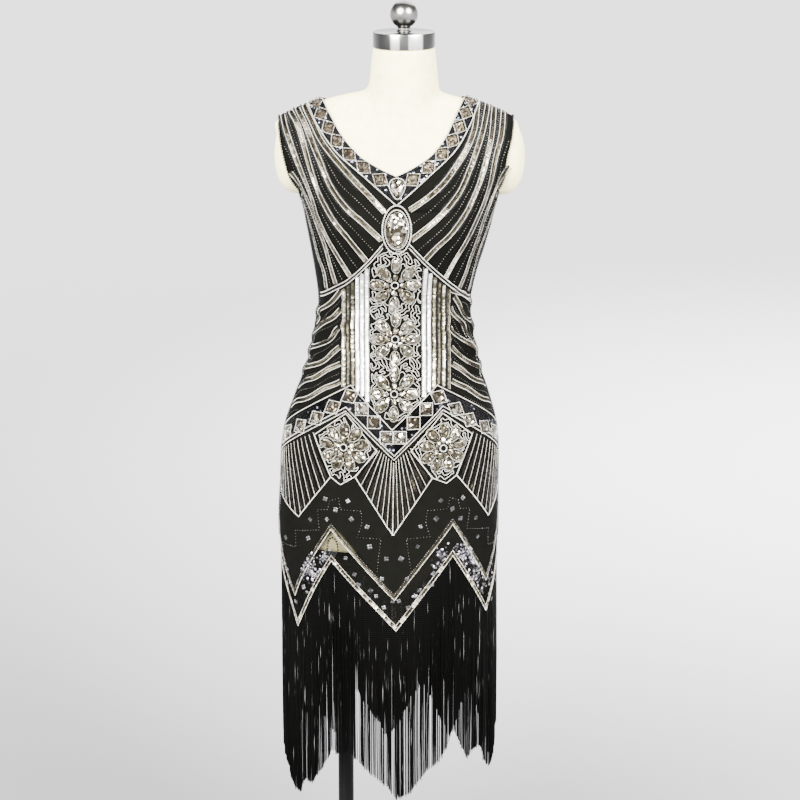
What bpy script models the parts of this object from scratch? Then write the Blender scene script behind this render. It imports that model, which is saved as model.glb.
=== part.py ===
"""Sleeveless beaded flapper dress worn by a limbless dress form on a stand.

Metres, +Z up, the front faces -Y. The origin is the centre of the base plate's underside, on the floor.
Left is -X and right is +X, as someone who faces the front sees them.

Everything is laid out on one figure: a point of it is found from a side (FRONT or BACK), an offset from
its middle and a height. Cloth is a wall between two offsets from that figure, and trims lie further out.
"""

import math
from collections import namedtuple
from functools import lru_cache

import bmesh
import bpy
from mathutils import Vector

MM = 0.001
FRONT, BACK = -1, 1
QUARTER = math.pi / 2

# Thicknesses and clearances.
SEAM_GAP = 0.3 * MM
CLOTH = 1.2 * MM
LINING, LINING_INSET = 1.0 * MM, 4.8 * MM
TRIM, TRIM_LIFT = 1.2 * MM, 1.3 * MM

# Girth sections from the hem to the chest, which is the last row.
Section = namedtuple("Section", "height half_width front back middle")
SECTIONS = (
    Section(0.500, 0.1650, 0.1060, 0.1060, -0.0060),
    Section(0.560, 0.1665, 0.1075, 0.1090, -0.0075),
    Section(0.620, 0.1705, 0.1085, 0.1140, -0.0110),
    Section(0.690, 0.1725, 0.1070, 0.1190, -0.0123),
    Section(0.760, 0.1705, 0.1050, 0.1200, -0.0108),
    Section(0.813, 0.1688, 0.1035, 0.1160, -0.0097),
    Section(0.852, 0.1636, 0.1025, 0.1090, -0.0082),
    Section(0.890, 0.1520, 0.1010, 0.1000, -0.0065),
    Section(0.930, 0.1386, 0.0995, 0.0915, -0.0055),
    Section(0.975, 0.1270, 0.0985, 0.0850, -0.0044),
    Section(1.012, 0.1205, 0.0985, 0.0820, -0.0040),
    Section(1.050, 0.1165, 0.1005, 0.0815, -0.0022),
    Section(1.090, 0.1225, 0.1070, 0.0855, -0.0006),
    Section(1.130, 0.1318, 0.1140, 0.0905, 0.0022),
    Section(1.165, 0.1400, 0.1180, 0.0945, 0.0040),
)
CHEST = SECTIONS[-1]
ARMPIT_HEIGHT = 1.205

# Above the chest the body widens towards the shoulders.
Yoke = namedtuple("Yoke", "height half_width middle")
YOKE = (
    Yoke(CHEST.height, CHEST.half_width, CHEST.middle),
    Yoke(1.190, 0.1450, 0.0045),
    Yoke(ARMPIT_HEIGHT, 0.1490, 0.0048),
    Yoke(1.222, 0.1520, 0.0050),
    Yoke(1.236, 0.1570, 0.0050),
    Yoke(1.256, 0.1660, 0.0045),
    Yoke(1.280, 0.1780, 0.0035),
    Yoke(1.300, 0.1860, 0.0025),
    Yoke(1.320, 0.1910, 0.0010),
    Yoke(1.345, 0.1930, 0.0000),
)
GIRTH_ROUNDNESS = 2.3
CHEST_ARCH = {FRONT: 1.6, BACK: 2.3}
RIDGE_TOP, RIDGE_FALL = 1.3775, 1.40

# The covered arm stub of the form: a bar across the shoulder, oval in section, with a rounded end.
STUB_HEIGHT, STUB_HALF_HEIGHT, STUB_HALF_DEPTH = 1.272, 0.0625, 0.0500
STUB_START, STUB_FULL, STUB_ROUND, STUB_END = 0.080, 0.130, 0.155, 0.1945

# Two soft cups for the bust darts.
CUP_X, CUP_HEIGHT, CUP_DEPTH = 0.068, 1.166, 0.009
CUP_WIDTH, CUP_RISE = 0.042, 0.045

# Soft cross folds where the dress lies slack at the waist. Angles go round the girth from the centre.
Fold = namedtuple("Fold", "x_side height angle reach spread depth slope")
FOLDS = (
    Fold(-1, 1.036, 72, 26, 0.0070, 0.0026, 0.012),
    Fold(-1, 1.004, 64, 30, 0.0085, 0.0038, 0.020),
    Fold(-1, 0.972, 78, 34, 0.0090, 0.0032, 0.016),
    Fold(-1, 0.938, 82, 26, 0.0085, 0.0022, 0.010),
    Fold(1, 1.046, 80, 22, 0.0070, 0.0022, 0.010),
    Fold(1, 1.016, 70, 30, 0.0085, 0.0034, 0.018),
    Fold(1, 0.984, 66, 28, 0.0085, 0.0038, 0.022),
    Fold(1, 0.950, 76, 32, 0.0090, 0.0026, 0.014),
)

# The neckline and the outer edge of its trim, as a share of the way from the lowest point to the shoulder
# ridge. Climb is the share of the way from the armpit's level up to the ridge.
NeckRow = namedtuple("NeckRow", "share neckline trim_edge")
NECK_ROWS = (
    NeckRow(0.000, 0.0000, 0.0000),
    NeckRow(0.074, 0.0203, 0.0145),
    NeckRow(0.234, 0.0515, 0.0445),
    NeckRow(0.476, 0.0763, 0.0860),
    NeckRow(0.729, 0.0920, 0.1115),
    NeckRow(1.000, 0.1075, 0.1294),
)
NECK_SHIFT = -0.0040
NECKLINE_LOW = {FRONT: 0.30, BACK: 0.46}
TRIM_EDGE_LOW = {FRONT: 0.06, BACK: 0.22}
NECK_STONES, NECK_SPACING = 6, 1.15

Armhole = namedtuple("Armhole", "climb edge_x")
ARMHOLE = (
    Armhole(0.000, 0.1490),
    Armhole(0.060, 0.1500),
    Armhole(0.147, 0.1535),
    Armhole(0.220, 0.1605),
    Armhole(0.305, 0.1665),
    Armhole(0.400, 0.1700),
    Armhole(0.520, 0.1730),
    Armhole(0.640, 0.1760),
    Armhole(0.764, 0.1780),
    Armhole(1.000, 0.1790),
)
# Rows of the yoke, below and above the neckline's lowest point.
CLIMBS_BELOW = {FRONT: (0.06, 0.147, 0.22), BACK: (0.08, 0.18, 0.32)}
CLIMBS_ABOVE = {FRONT: (0.40, 0.52, 0.64, 0.764, 0.87, 0.94, 0.985, 1.0), BACK: (0.62, 0.78, 0.90, 0.97, 1.0)}

# The zigzag hem from the left side seam to the right one: girth length from the centre, and height.
HemTurn = namedtuple("HemTurn", "arc height")
SEAM = 1.0
HEM_TURNS = {
    FRONT: (
        HemTurn(-SEAM, 0.6550),
        HemTurn(-0.1650, 0.5290),
        HemTurn(-0.0890, 0.6510),
        HemTurn(0.0065, 0.5385),
        HemTurn(0.1006, 0.6580),
        HemTurn(0.1640, 0.5550),
        HemTurn(SEAM, 0.6620),
    ),
    BACK: (
        HemTurn(-SEAM, 0.6550),
        HemTurn(-0.1780, 0.5450),
        HemTurn(-0.1340, 0.6480),
        HemTurn(-0.0890, 0.5430),
        HemTurn(-0.0450, 0.6500),
        HemTurn(0.0000, 0.5520),
        HemTurn(0.0450, 0.6500),
        HemTurn(0.0890, 0.5450),
        HemTurn(0.1340, 0.6520),
        HemTurn(0.1780, 0.5500),
        HemTurn(SEAM, 0.6620),
    ),
}
HEM_GIRTH_HEIGHT = 0.590
SHEER_BAND_RISE, SHEER_BAND_WIDTH, HEM_BAND_WIDTH = 0.0515, 0.0060, 0.0095
SKIRT_TOP = 0.760
BODY_HEIGHTS = {
    FRONT: (
        *(SKIRT_TOP, 0.800, 0.840, 0.875, 0.905, 0.930, 0.948, 0.962, 0.975, 0.988, 1.001),
        *(1.014, 1.028, 1.046, 1.075, 1.105, 1.135, CHEST.height, ARMPIT_HEIGHT),
    ),
    BACK: (
        *(SKIRT_TOP, 0.805, 0.840, 0.868, 0.894, 0.920, 0.942, 0.963, 0.984, 1.005, 1.028),
        *(1.060, 1.110, CHEST.height, ARMPIT_HEIGHT),
    ),
}
SKIRT_ROWS = {FRONT: 4, BACK: 3}
COLUMNS_PER_TURN = {FRONT: 4, BACK: 2}

# The lining's own zigzag hem. It hangs higher at the left.
LINING_TURNS = {
    FRONT: (
        HemTurn(-SEAM, 0.668),
        HemTurn(-0.1650, 0.580),
        HemTurn(-0.0830, 0.704),
        HemTurn(0.0065, 0.585),
        HemTurn(0.1000, 0.668),
        HemTurn(0.1640, 0.588),
        HemTurn(SEAM, 0.670),
    ),
    BACK: (HemTurn(-SEAM, 0.668), HemTurn(-0.1100, 0.662), HemTurn(0.1100, 0.664), HemTurn(SEAM, 0.670)),
}
LINING_TOP, LINING_ROWS = 0.780, 3
LINING_COLUMNS = {FRONT: 3, BACK: 7}

FRINGE_LENGTH = 0.2740
STRANDS_PER_COLUMN = {FRONT: 4, BACK: 3}
FRINGE_GAP, FRINGE_HEAD, FRINGE_NECK = 0.5 * MM, 0.006, 0.014
STRAND_WIDTH, STRAND_DEPTH, STRAND_SWAY = 2.2 * MM, 1.6 * MM, 1.5 * MM

# The hip band: turning points, and the steps between them. A stone stands on every second station.
HIP_BAND_WIDTH, HIP_GIRTH = 0.0325, 0.217
HIP_TURNS = (
    HemTurn(-HIP_GIRTH, 0.828),
    HemTurn(-0.0675, 0.912),
    HemTurn(0.0035, 0.841),
    HemTurn(0.0735, 0.912),
    HemTurn(HIP_GIRTH, 0.829),
)
HIP_STEPS = {FRONT: (11, 7, 7, 11), BACK: (9, 5, 5, 9)}
STONE_RISE = 2.4 * MM

# Appliques on the front: girth length from the centre, and height.
Flower = namedtuple("Flower", "name arc height petals")
FLOWERS = (
    Flower("flower_upper", -0.0010, 1.0925, 8),
    Flower("flower_middle", 0.0025, 1.0065, 8),
    Flower("flower_lower", 0.0025, 0.9205, 8),
    Flower("flower_left", -0.0720, 0.8350, 9),
    Flower("flower_right", 0.0820, 0.8330, 9),
)
FLOWER_RADIUS, PETAL_RISE = 0.0380, 3.0 * MM
NECK_JEWEL_HEIGHT, NECK_JEWEL_HALF_WIDTH, NECK_JEWEL_HALF_HEIGHT = 1.2370, 0.0085, 0.0125
NECK_JEWEL_LIFT = TRIM_LIFT + TRIM + 1.0 * MM
BUST_JEWEL_HEIGHT, BUST_JEWEL_HALF_WIDTH, BUST_JEWEL_HALF_HEIGHT = 1.1785, 0.0230, 0.0335
BUST_JEWEL_RINGS = ((1.0, 0.0), (0.86, 2.2 * MM), (0.74, 1.0 * MM), (0.50, 4.5 * MM))
BUST_JEWEL_SIDES, BUST_JEWEL_CROWN, JEWEL_SHIFT = 14, 5.2 * MM, -0.0030

# The dress form and its stand.
FORM_BOTTOM, FORM_RIM = 0.668, 0.004
FormInset = namedtuple("FormInset", "height inset")
FORM_INSETS = (
    FormInset(0.60, 8.5 * MM),
    FormInset(0.79, 8.5 * MM),
    FormInset(0.86, 6.0 * MM),
    FormInset(0.93, 7.0 * MM),
    FormInset(1.05, 7.0 * MM),
    FormInset(1.16, 4.5 * MM),
    FormInset(1.24, 3.6 * MM),
    FormInset(1.50, 3.2 * MM),
)
FORM_LEVELS = (
    *(0.672, 0.700, 0.740, 0.780, 0.820, 0.855, 0.890, 0.925, 0.960, 1.000, 1.040, 1.080, 1.120, 1.160),
    *(1.190, 1.215, 1.235, 1.255, 1.275, 1.295, 1.310, 1.323, 1.333, 1.341, 1.348, 1.355, 1.362, 1.369),
    *(1.377, 1.388, 1.405, 1.437),
)
FORM_COLUMNS, FORM_STUB_INSET = 28, 3.6 * MM
Stub = namedtuple("Stub", "word x_side longer lower")
FORM_STUBS = (Stub("left", -1, 0.0, -0.0010), Stub("right", 1, 0.0032, 0.0015))
Neck = namedtuple("Neck", "height half_width half_depth")
NECK = (
    Neck(1.300, 0.0560, 0.0600),
    Neck(1.360, 0.0545, 0.0580),
    Neck(1.385, 0.0525, 0.0555),
    Neck(1.405, 0.0505, 0.0530),
    Neck(1.440, 0.0470, 0.0480),
)
NECK_X, NECK_Y, NECK_BLEND = 0.0120, 0.0060, 0.022
CAP_RADIUS, CAP_HEIGHT, CAP_EDGE = 0.0472, 0.0235, 0.0012
BALL_RADIUS, BALL_RISE, STEM_RADIUS, STEM_HEIGHT = 0.0212, 0.0255, 0.0100, 0.0080
POLE_X, POLE_RADIUS = -0.082, 0.0125
COLLAR_RADIUS, COLLAR_HEIGHT = 0.026, 0.012
BASE_RADIUS, BASE_THICKNESS, BASE_EDGE = 0.180, 0.010, 0.003
HUB_RADIUS, HUB_HEIGHT = 0.024, 0.030


# ---------------------------------------------------------------- the figure


def through(rows, column, place):
    """A smooth curve through one column of a table, over its rising first column."""
    last = len(rows) - 1
    if place <= rows[0][0]:
        return getattr(rows[0], column)
    if place >= rows[last][0]:
        return getattr(rows[last], column)
    k = max(i for i in range(last) if rows[i][0] <= place)

    def slope(i):
        low, high = rows[max(0, i - 1)], rows[min(last, i + 1)]
        return (getattr(high, column) - getattr(low, column)) / (high[0] - low[0])

    span = rows[k + 1][0] - rows[k][0]
    t = (place - rows[k][0]) / span
    return (
        (2 * t**3 - 3 * t**2 + 1) * getattr(rows[k], column)
        + (t**3 - 2 * t**2 + t) * span * slope(k)
        + (3 * t**2 - 2 * t**3) * getattr(rows[k + 1], column)
        + (t**3 - t**2) * span * slope(k + 1)
    )


def straight(rows, place):
    """Straight lines through a table of pairs, over its rising first column."""
    k = max(i for i in range(len(rows) - 1) if i == 0 or rows[i][0] <= place)
    low, high = rows[k], rows[k + 1]
    share = min(1.0, max(0.0, (place - low[0]) / (high[0] - low[0])))
    return low[1] + (high[1] - low[1]) * share


def half_width(height):
    return through(SECTIONS if height < CHEST.height else YOKE, "half_width", height)


def middle(height):
    return through(SECTIONS if height < CHEST.height else YOKE, "middle", height)


def ridge_height(offset):
    """Height of the shoulder ridge at an offset from the middle."""
    return RIDGE_TOP - RIDGE_FALL * offset * offset


def stub_size(offset, grow=0.0):
    """The arm stub's size at an offset, as a share of its full section. Its end is rounded."""
    along = max(0.0, (offset - STUB_ROUND) / (STUB_END + grow - STUB_ROUND))
    return math.sqrt(1 - min(1.0, along) ** 2.4)


def stub_depth(offset, height):
    start = min(1.0, max(0.0, (offset - STUB_START) / (STUB_FULL - STUB_START)))
    inside = stub_size(offset) ** 2 - ((height - STUB_HEIGHT) / STUB_HALF_HEIGHT) ** 2
    return start * STUB_HALF_DEPTH * math.sqrt(max(0.0, inside))


def body_depth(side, offset, height, grow=0.0):
    """How far the body, without the arm stubs, stands out to the front or back of its middle plane."""
    most = through(SECTIONS, "front" if side == FRONT else "back", min(height, CHEST.height)) + grow
    share = min(1.0, offset / (half_width(height) + grow))
    out = most * (1 - share**GIRTH_ROUNDNESS) ** (1 / GIRTH_ROUNDNESS)
    if side == FRONT:
        across, up = (offset - CUP_X) / CUP_WIDTH, (height - CUP_HEIGHT) / CUP_RISE
        out *= 1 + CUP_DEPTH / CHEST.front * math.exp(-across * across - up * up)
    if height > CHEST.height:
        ridge = ridge_height(offset) + grow
        climbed = min(1.0, (height - CHEST.height) / max(MM, ridge - CHEST.height))
        out *= (1 - climbed ** CHEST_ARCH[side]) ** (1 / CHEST_ARCH[side])
    return out


def depth(side, offset, height):
    """How far the worn cloth stands out: over the body, and over the arm stubs at the shoulders."""
    out = body_depth(side, offset, height)
    if height > CHEST.height:
        out = (out**4 + stub_depth(offset, height) ** 4) ** 0.25
    return out


def fold_depth(x_side, angle, height):
    """How far the folds at the waist push the cloth out."""
    pushed = 0.0
    for fold in FOLDS:
        along = (math.degrees(angle) - fold.angle) / fold.reach
        across = (height - fold.height + fold.slope * along) / fold.spread
        if fold.x_side == x_side and abs(across) < 4:
            pushed += fold.depth * math.exp(-along * along - across * across / 2) * (1 - across * across)
    return pushed


def at(side, offset, height, grow=0.0):
    """A point of the cloth's outer face. The offset is signed, and grow moves the point out."""
    step = 0.2 * MM
    x_side = -1 if offset < 0 else 1
    distance = abs(offset)
    out = depth(side, distance, height)
    inner = max(0.0, distance - step)
    slope_x = (out - depth(side, inner, height)) / step if inner else 0.0
    slope_z = (out - depth(side, distance, height - step)) / step
    normal = Vector((-slope_x * x_side, side, -slope_z)).normalized()
    angle = math.asin(min(1.0, distance / half_width(height)) ** (GIRTH_ROUNDNESS / 2))
    pushed = fold_depth(x_side, angle, height)
    x = middle(height) + x_side * (distance + pushed * math.sin(angle))
    point = Vector((x, side * (out + pushed * math.cos(angle)), height)) + normal * grow
    point.y = side * max(SEAM_GAP / 2, side * point.y)
    return point


@lru_cache(maxsize=None)
def girth_lengths(side, height):
    """Pairs of the length round the girth from the centre and the angle, up to the side seam."""
    wide = half_width(height)
    pairs, before = [(0.0, 0.0)], at(side, 0.0, height)
    for degrees in range(3, 91, 3):
        angle = math.radians(degrees)
        here = at(side, wide * math.sin(angle) ** (2 / GIRTH_ROUNDNESS), height)
        pairs.append((pairs[-1][0] + (here - before).length, angle))
        before = here
    return pairs


def arc_offset(side, arc, height):
    """The signed offset at a signed length round the girth, at most at the side seam."""
    angle = straight(girth_lengths(side, round(height, 3)), abs(arc))
    return math.copysign(half_width(height) * math.sin(angle) ** (2 / GIRTH_ROUNDNESS), arc)


def share_offset(side, share, height):
    """The signed offset at a share of the way round from the centre to the side seam."""
    return arc_offset(side, share * girth_lengths(side, round(height, 3))[-1][0], height)


def wrapped(side, arc, height, grow=0.0):
    return at(side, arc_offset(side, arc, height), height, grow)


# ---------------------------------------------------------------- building blocks


def material(name, colour, roughness, metallic=0.0):
    made = bpy.data.materials.new(name)
    made.use_nodes = True
    shader = made.node_tree.nodes["Principled BSDF"]
    shader.inputs["Base Color"].default_value = (*colour, 1)
    shader.inputs["Roughness"].default_value = roughness
    shader.inputs["Metallic"].default_value = metallic
    return made


def add_node(name, built, surface):
    """Turns a closed bmesh into a named object with its material."""
    bmesh.ops.recalc_face_normals(built, faces=built.faces)
    mesh = bpy.data.meshes.new(name)
    built.to_mesh(mesh)
    built.free()
    obj = bpy.data.objects.new(name, mesh)
    bpy.context.scene.collection.objects.link(obj)
    mesh.materials.append(surface)
    mesh.shade_smooth()
    mesh.set_sharp_from_angle(angle=math.radians(40))
    return obj


def wall(name, faces, place, lift, thickness, surface):
    """A closed wall. Faces list spots, and place(spot, grow) gives a spot's point."""
    built = bmesh.new()
    spots = list(dict.fromkeys(spot for face in faces for spot in face))
    outer = {spot: built.verts.new(place(spot, lift + thickness)) for spot in spots}
    inner = {spot: built.verts.new(place(spot, lift)) for spot in spots}
    edges = set()
    for face in faces:
        built.faces.new([outer[spot] for spot in face])
        built.faces.new([inner[spot] for spot in reversed(face)])
        edges.update(zip(face, (*face[1:], face[0])))
    for first, second in sorted(edges):
        if (second, first) not in edges:
            built.faces.new((outer[second], outer[first], inner[first], inner[second]))
    return add_node(name, built, surface)


def grid_faces(rows):
    """Quads between rows of spots. Where spots repeat, a quad is a triangle."""
    faces = []
    for lower, upper in zip(rows, rows[1:]):
        for k in range(len(lower) - 1):
            corners = tuple(dict.fromkeys((lower[k], lower[k + 1], upper[k + 1], upper[k])))
            if len(corners) > 2:
                faces.append(corners)
    return faces


def tube(name, rings, surface):
    """A closed skin through rings of points that all have the same number of corners."""
    built = bmesh.new()
    loops = [[built.verts.new(point) for point in ring] for ring in rings]
    for first, second in zip(loops, loops[1:]):
        for k in range(len(first)):
            n = (k + 1) % len(first)
            built.faces.new((first[k], first[n], second[n], second[k]))
    built.faces.new(loops[0])
    built.faces.new(loops[-1])
    return add_node(name, built, surface)


def turned(name, profile, surface, steps, place):
    """A turned solid round Z from (radius, height) pairs, from the axis at the bottom to the top."""
    built = bmesh.new()
    verts = [built.verts.new((radius, 0, height)) for radius, height in profile]
    edges = [built.edges.new(pair) for pair in zip(verts, verts[1:])]
    axis = {"cent": (0, 0, 0), "axis": (0, 0, 1), "angle": 2 * math.pi}
    bmesh.ops.spin(built, geom=verts + edges, steps=steps, use_merge=True, **axis)
    bmesh.ops.remove_doubles(built, verts=built.verts, dist=0.01 * MM)
    obj = add_node(name, built, surface)
    obj.location = place
    return obj


# ---------------------------------------------------------------- the sheath and its lining


def yoke_spot(offset, climb, *rise):
    """A spot of the yoke, from its offset and climb."""
    return (offset + 0.0, ARMPIT_HEIGHT + (ridge_height(abs(offset)) - ARMPIT_HEIGHT) * climb, *rise)


def zigzag_columns(side, turns, per_turn):
    """Shares of the way to the side seam, and heights, along a zigzag: straight between its turns."""
    quarter = girth_lengths(side, HEM_GIRTH_HEIGHT)[-1][0]
    stops = [(max(-1.0, min(1.0, turn.arc / quarter)), turn.height) for turn in turns]
    columns = [stops[0]]
    for first, second in zip(stops, stops[1:]):
        for k in range(1, per_turn + 1):
            columns.append(tuple(a + (b - a) * k / per_turn for a, b in zip(first, second)))
    return columns


def hem_columns(side):
    return zigzag_columns(side, HEM_TURNS[side], COLUMNS_PER_TURN[side])


def panel(name, side, surface):
    """Front or back, in one piece from the zigzag hem to the shoulder seams."""
    columns = hem_columns(side)
    half = len(columns) // 2
    rows = []
    for k in range(SKIRT_ROWS[side]):
        up = k / SKIRT_ROWS[side]
        row = []
        for n, (share, hem) in enumerate(columns):
            height = hem * (1 - up) + SKIRT_TOP * up
            row.append((share_offset(side, share * (1 - up) + (n / half - 1) * up, height), height))
        rows.append(row)
    for height in BODY_HEIGHTS[side]:
        rows.append([(share_offset(side, n / half - 1, height), height) for n in range(2 * half + 1)])
    faces = grid_faces(rows)

    across = [offset / half_width(ARMPIT_HEIGHT) for offset, _ in rows[-1][half:]]
    low = NECKLINE_LOW[side]
    below = {-1: rows[-1][half::-1], 1: rows[-1][half:]}
    for climb in (*CLIMBS_BELOW[side], low, *CLIMBS_ABOVE[side]):
        neck = through(NECK_ROWS, "neckline", (climb - low) / (1 - low))
        centre = NECK_SHIFT * min(1.0, climb / low)
        for x_side in (-1, 1):
            start, end = centre + x_side * neck, x_side * straight(ARMHOLE, climb)
            row = [yoke_spot(start + (end - start) * share, climb) for share in across]
            faces += grid_faces([below[x_side], row] if x_side > 0 else [row, below[x_side]])
            below[x_side] = row
    return wall(name, faces, lambda spot, grow: at(side, *spot, grow), -CLOTH, CLOTH, surface)


def lining(name, side, surface):
    columns = zigzag_columns(side, LINING_TURNS[side], LINING_COLUMNS[side])
    rows = []
    for k in range(LINING_ROWS + 1):
        up = k / LINING_ROWS
        heights = [hem * (1 - up) + LINING_TOP * up for _, hem in columns]
        rows.append([(share_offset(side, c[0], height), height) for c, height in zip(columns, heights)])
    place = lambda spot, grow: at(side, *spot, grow)
    return wall(name, grid_faces(rows), place, -LINING_INSET, LINING, surface)


# ---------------------------------------------------------------- fringe


def wander(number):
    """A repeatable value from -1 to 1."""
    return 2 * ((math.sin(number * 12.9898) * 43758.5453) % 1) - 1


def hem_pairs(built, side, drop):
    """Outer and inner vertices below the hem, straight between the panel's columns."""
    per_column = STRANDS_PER_COLUMN[side]
    lines = []
    for grow in (0.2 * MM, -STRAND_DEPTH):
        stops = []
        for share, hem in hem_columns(side):
            stops.append(at(side, share_offset(side, share, hem - drop), hem - drop, grow))
        line = [stops[0]]
        for first, second in zip(stops, stops[1:]):
            line += [first.lerp(second, (n + 1) / per_column) for n in range(per_column)]
        lines.append([built.verts.new(point) for point in line])
    return list(zip(*lines))


def fringe(name, side, surface):
    """Strands that hang from one narrow heading, which follows the panel's hem just below it."""
    built = bmesh.new()
    tops = hem_pairs(built, side, FRINGE_GAP)
    roots = hem_pairs(built, side, FRINGE_GAP + FRINGE_HEAD)
    for top, root in ((tops[0], roots[0]), (tops[-1], roots[-1])):
        built.faces.new((*top, root[1], root[0]))
    for k in range(len(tops) - 1):
        (top, top_in), (next_top, next_top_in) = tops[k], tops[k + 1]
        (root, root_in), (next_root, next_root_in) = roots[k], roots[k + 1]
        built.faces.new((top, next_top, next_root, root))
        built.faces.new((top_in, next_top_in, next_root_in, root_in))
        built.faces.new((top, top_in, next_top_in, next_top))
        section = [root, next_root, next_root_in, root_in]
        centre = sum((vert.co for vert in section), Vector()) / 4
        along = Vector((next_root.co.x - root.co.x, next_root.co.y - root.co.y, 0)).normalized()
        outward = Vector((along.y, -along.x, 0))
        hem = (top.co.z + next_top.co.z) / 2
        length = FRINGE_LENGTH + wander(k + 900) * STRAND_SWAY
        sway = outward * wander(k) * STRAND_SWAY + along * wander(k + 500) * STRAND_SWAY / 4
        for height, swayed in ((hem - FRINGE_NECK, 0.3), (hem - length, 1.0)):
            ring = []
            for s_along, s_out in ((-1, 1), (1, 1), (1, -1), (-1, -1)):
                shift = along * s_along * STRAND_WIDTH / 2 + outward * s_out * STRAND_DEPTH / 2 * -side
                ring.append(built.verts.new(Vector((centre.x, centre.y, height)) + sway * swayed + shift))
            for n in range(4):
                built.faces.new((section[n], section[(n + 1) % 4], ring[(n + 1) % 4], ring[n]))
            section = ring
        built.faces.new(section)
    return add_node(name, built, surface)


# ---------------------------------------------------------------- trims and appliques
# A trim's spot is (arc or offset, height, rise). The rise stands out from the trim's outer face.


def raised(place, side, lift=TRIM_LIFT):
    return lambda spot, grow: place(side, spot[0], spot[1], grow + (spot[2] if grow > lift else 0.0))


def stone_band_faces(upper, line, lower, stations):
    """A ribbon between two edges and its middle line, with a diamond stone round each given station."""
    faces = []
    for k in range(len(line) - 1):
        for edge, flipped in ((upper, False), (lower, True)):
            if k in stations:
                pair = ((line[k], line[k + 1], edge[k]), (line[k + 1], edge[k + 1], edge[k]))
            else:
                pair = ((line[k], line[k + 1], edge[k + 1]), (line[k], edge[k + 1], edge[k]))
            faces += [face[::-1] if flipped else face for face in pair]
    return faces


def mitred(path, width):
    """Upper and lower edge of a ribbon along a path that goes on mirrored beyond its ends."""
    edges = []
    last = len(path) - 1
    for k, here in enumerate(path):
        into = Vector(here) - Vector(path[k - 1] if k else path[1])
        out = Vector(path[k + 1] if k < last else path[k - 1]) - Vector(here)
        into.x, out.x = abs(into.x), abs(out.x)
        into.normalize()
        out.normalize()
        mitre = Vector((-into.y - out.y, into.x + out.x)).normalized()
        reach = width / 2 / mitre.dot(Vector((-out.y, out.x)))
        edges.append([(here[0] + s * mitre.x * reach, here[1] + s * mitre.y * reach) for s in (1, -1)])
    return edges


def hip_band(name, side, surface):
    """A zigzag band of stones round the hips, with a stone on each upper turn."""
    path = [tuple(HIP_TURNS[0])]
    for first, second, steps in zip(HIP_TURNS, HIP_TURNS[1:], HIP_STEPS[side]):
        for k in range(1, steps + 1):
            path.append(tuple(a + (b - a) * k / steps for a, b in zip(first, second)))
    last = len(path) - 1
    stations = range(1, last, 2)
    upper, line, lower = [], [], []
    for k, (here, (above, below)) in enumerate(zip(path, mitred(path, HIP_BAND_WIDTH))):
        for row, (arc, height) in ((upper, above), (line, here), (lower, below)):
            if k in (0, last):
                arc = math.copysign(SEAM, arc)
            row.append((arc, height, STONE_RISE if row is line and k in stations else 0.0))
    faces = stone_band_faces(upper, line, lower, stations)
    return wall(name, faces, raised(wrapped, side), TRIM_LIFT, TRIM, surface)


def zigzag_band(name, side, rise, width, surface):
    """A narrow band along the hem's zigzag, that much above it."""
    rows = []
    for up in (rise, rise + width):
        rows.append([(share_offset(side, share, hem + up), hem + up) for share, hem in hem_columns(side)])
    return wall(name, grid_faces(rows), lambda spot, grow: at(side, *spot, grow), TRIM_LIFT, TRIM, surface)


def neck_trim(name, side, surface):
    """A band of diamond stones along the neckline, from one shoulder seam to the other."""
    last = 2 * NECK_STONES + 2
    stations = range(2, last, 2)
    shares = [*((k / last) ** NECK_SPACING for k in range(last)), 0.98, 1.0]
    inner_low, outer_low = NECKLINE_LOW[side], TRIM_EDGE_LOW[side]
    faces = []
    for x_side in (-1, 1):
        inner, line, outer = [], [], []
        for k, share in enumerate(shares):
            near = (through(NECK_ROWS, "neckline", share), inner_low + (1 - inner_low) * share)
            far = (through(NECK_ROWS, "trim_edge", share), outer_low + (1 - outer_low) * share)
            half_way = [(first + second) / 2 for first, second in zip(near, far)]
            rise = STONE_RISE if k in stations else 0.0
            for row, (offset, climb), stands in ((inner, near, 0.0), (line, half_way, rise), (outer, far, 0.0)):
                row.append(yoke_spot(NECK_SHIFT + x_side * offset, climb, stands))
        band = (inner, line, outer) if x_side > 0 else (outer, line, inner)
        faces += stone_band_faces(*band, stations)
    return wall(name, faces, raised(at, side), TRIM_LIFT, TRIM, surface)


def flower(row, surface):
    """A rosette of raised petals round a small boss."""
    centre = (row.arc, row.height, 0.9 * PETAL_RISE)
    turn = 2 * math.pi / row.petals

    def spot(angle, reach, rise):
        x = row.arc + FLOWER_RADIUS * reach * math.sin(angle)
        return (round(x, 6), round(row.height + FLOWER_RADIUS * reach * math.cos(angle), 6), rise)

    faces = []
    for k in range(row.petals):
        angle = k * turn
        valley, next_valley = spot(angle - turn / 2, 0.40, 0.0), spot(angle + turn / 2, 0.40, 0.0)
        base, crest = spot(angle, 0.26, 0.4 * PETAL_RISE), spot(angle, 0.62, PETAL_RISE)
        left, right = spot(angle - 0.38 * turn, 0.74, 0.1 * MM), spot(angle + 0.38 * turn, 0.74, 0.1 * MM)
        tip = spot(angle, 1.0, 0.1 * MM)
        faces += [(centre, valley, base), (centre, base, next_valley)]
        faces += [(base, valley, left, crest), (base, crest, right, next_valley)]
        faces += [(crest, left, tip), (crest, tip, right)]
    return wall(row.name, faces, raised(wrapped, FRONT), TRIM_LIFT, TRIM, surface)


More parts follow.
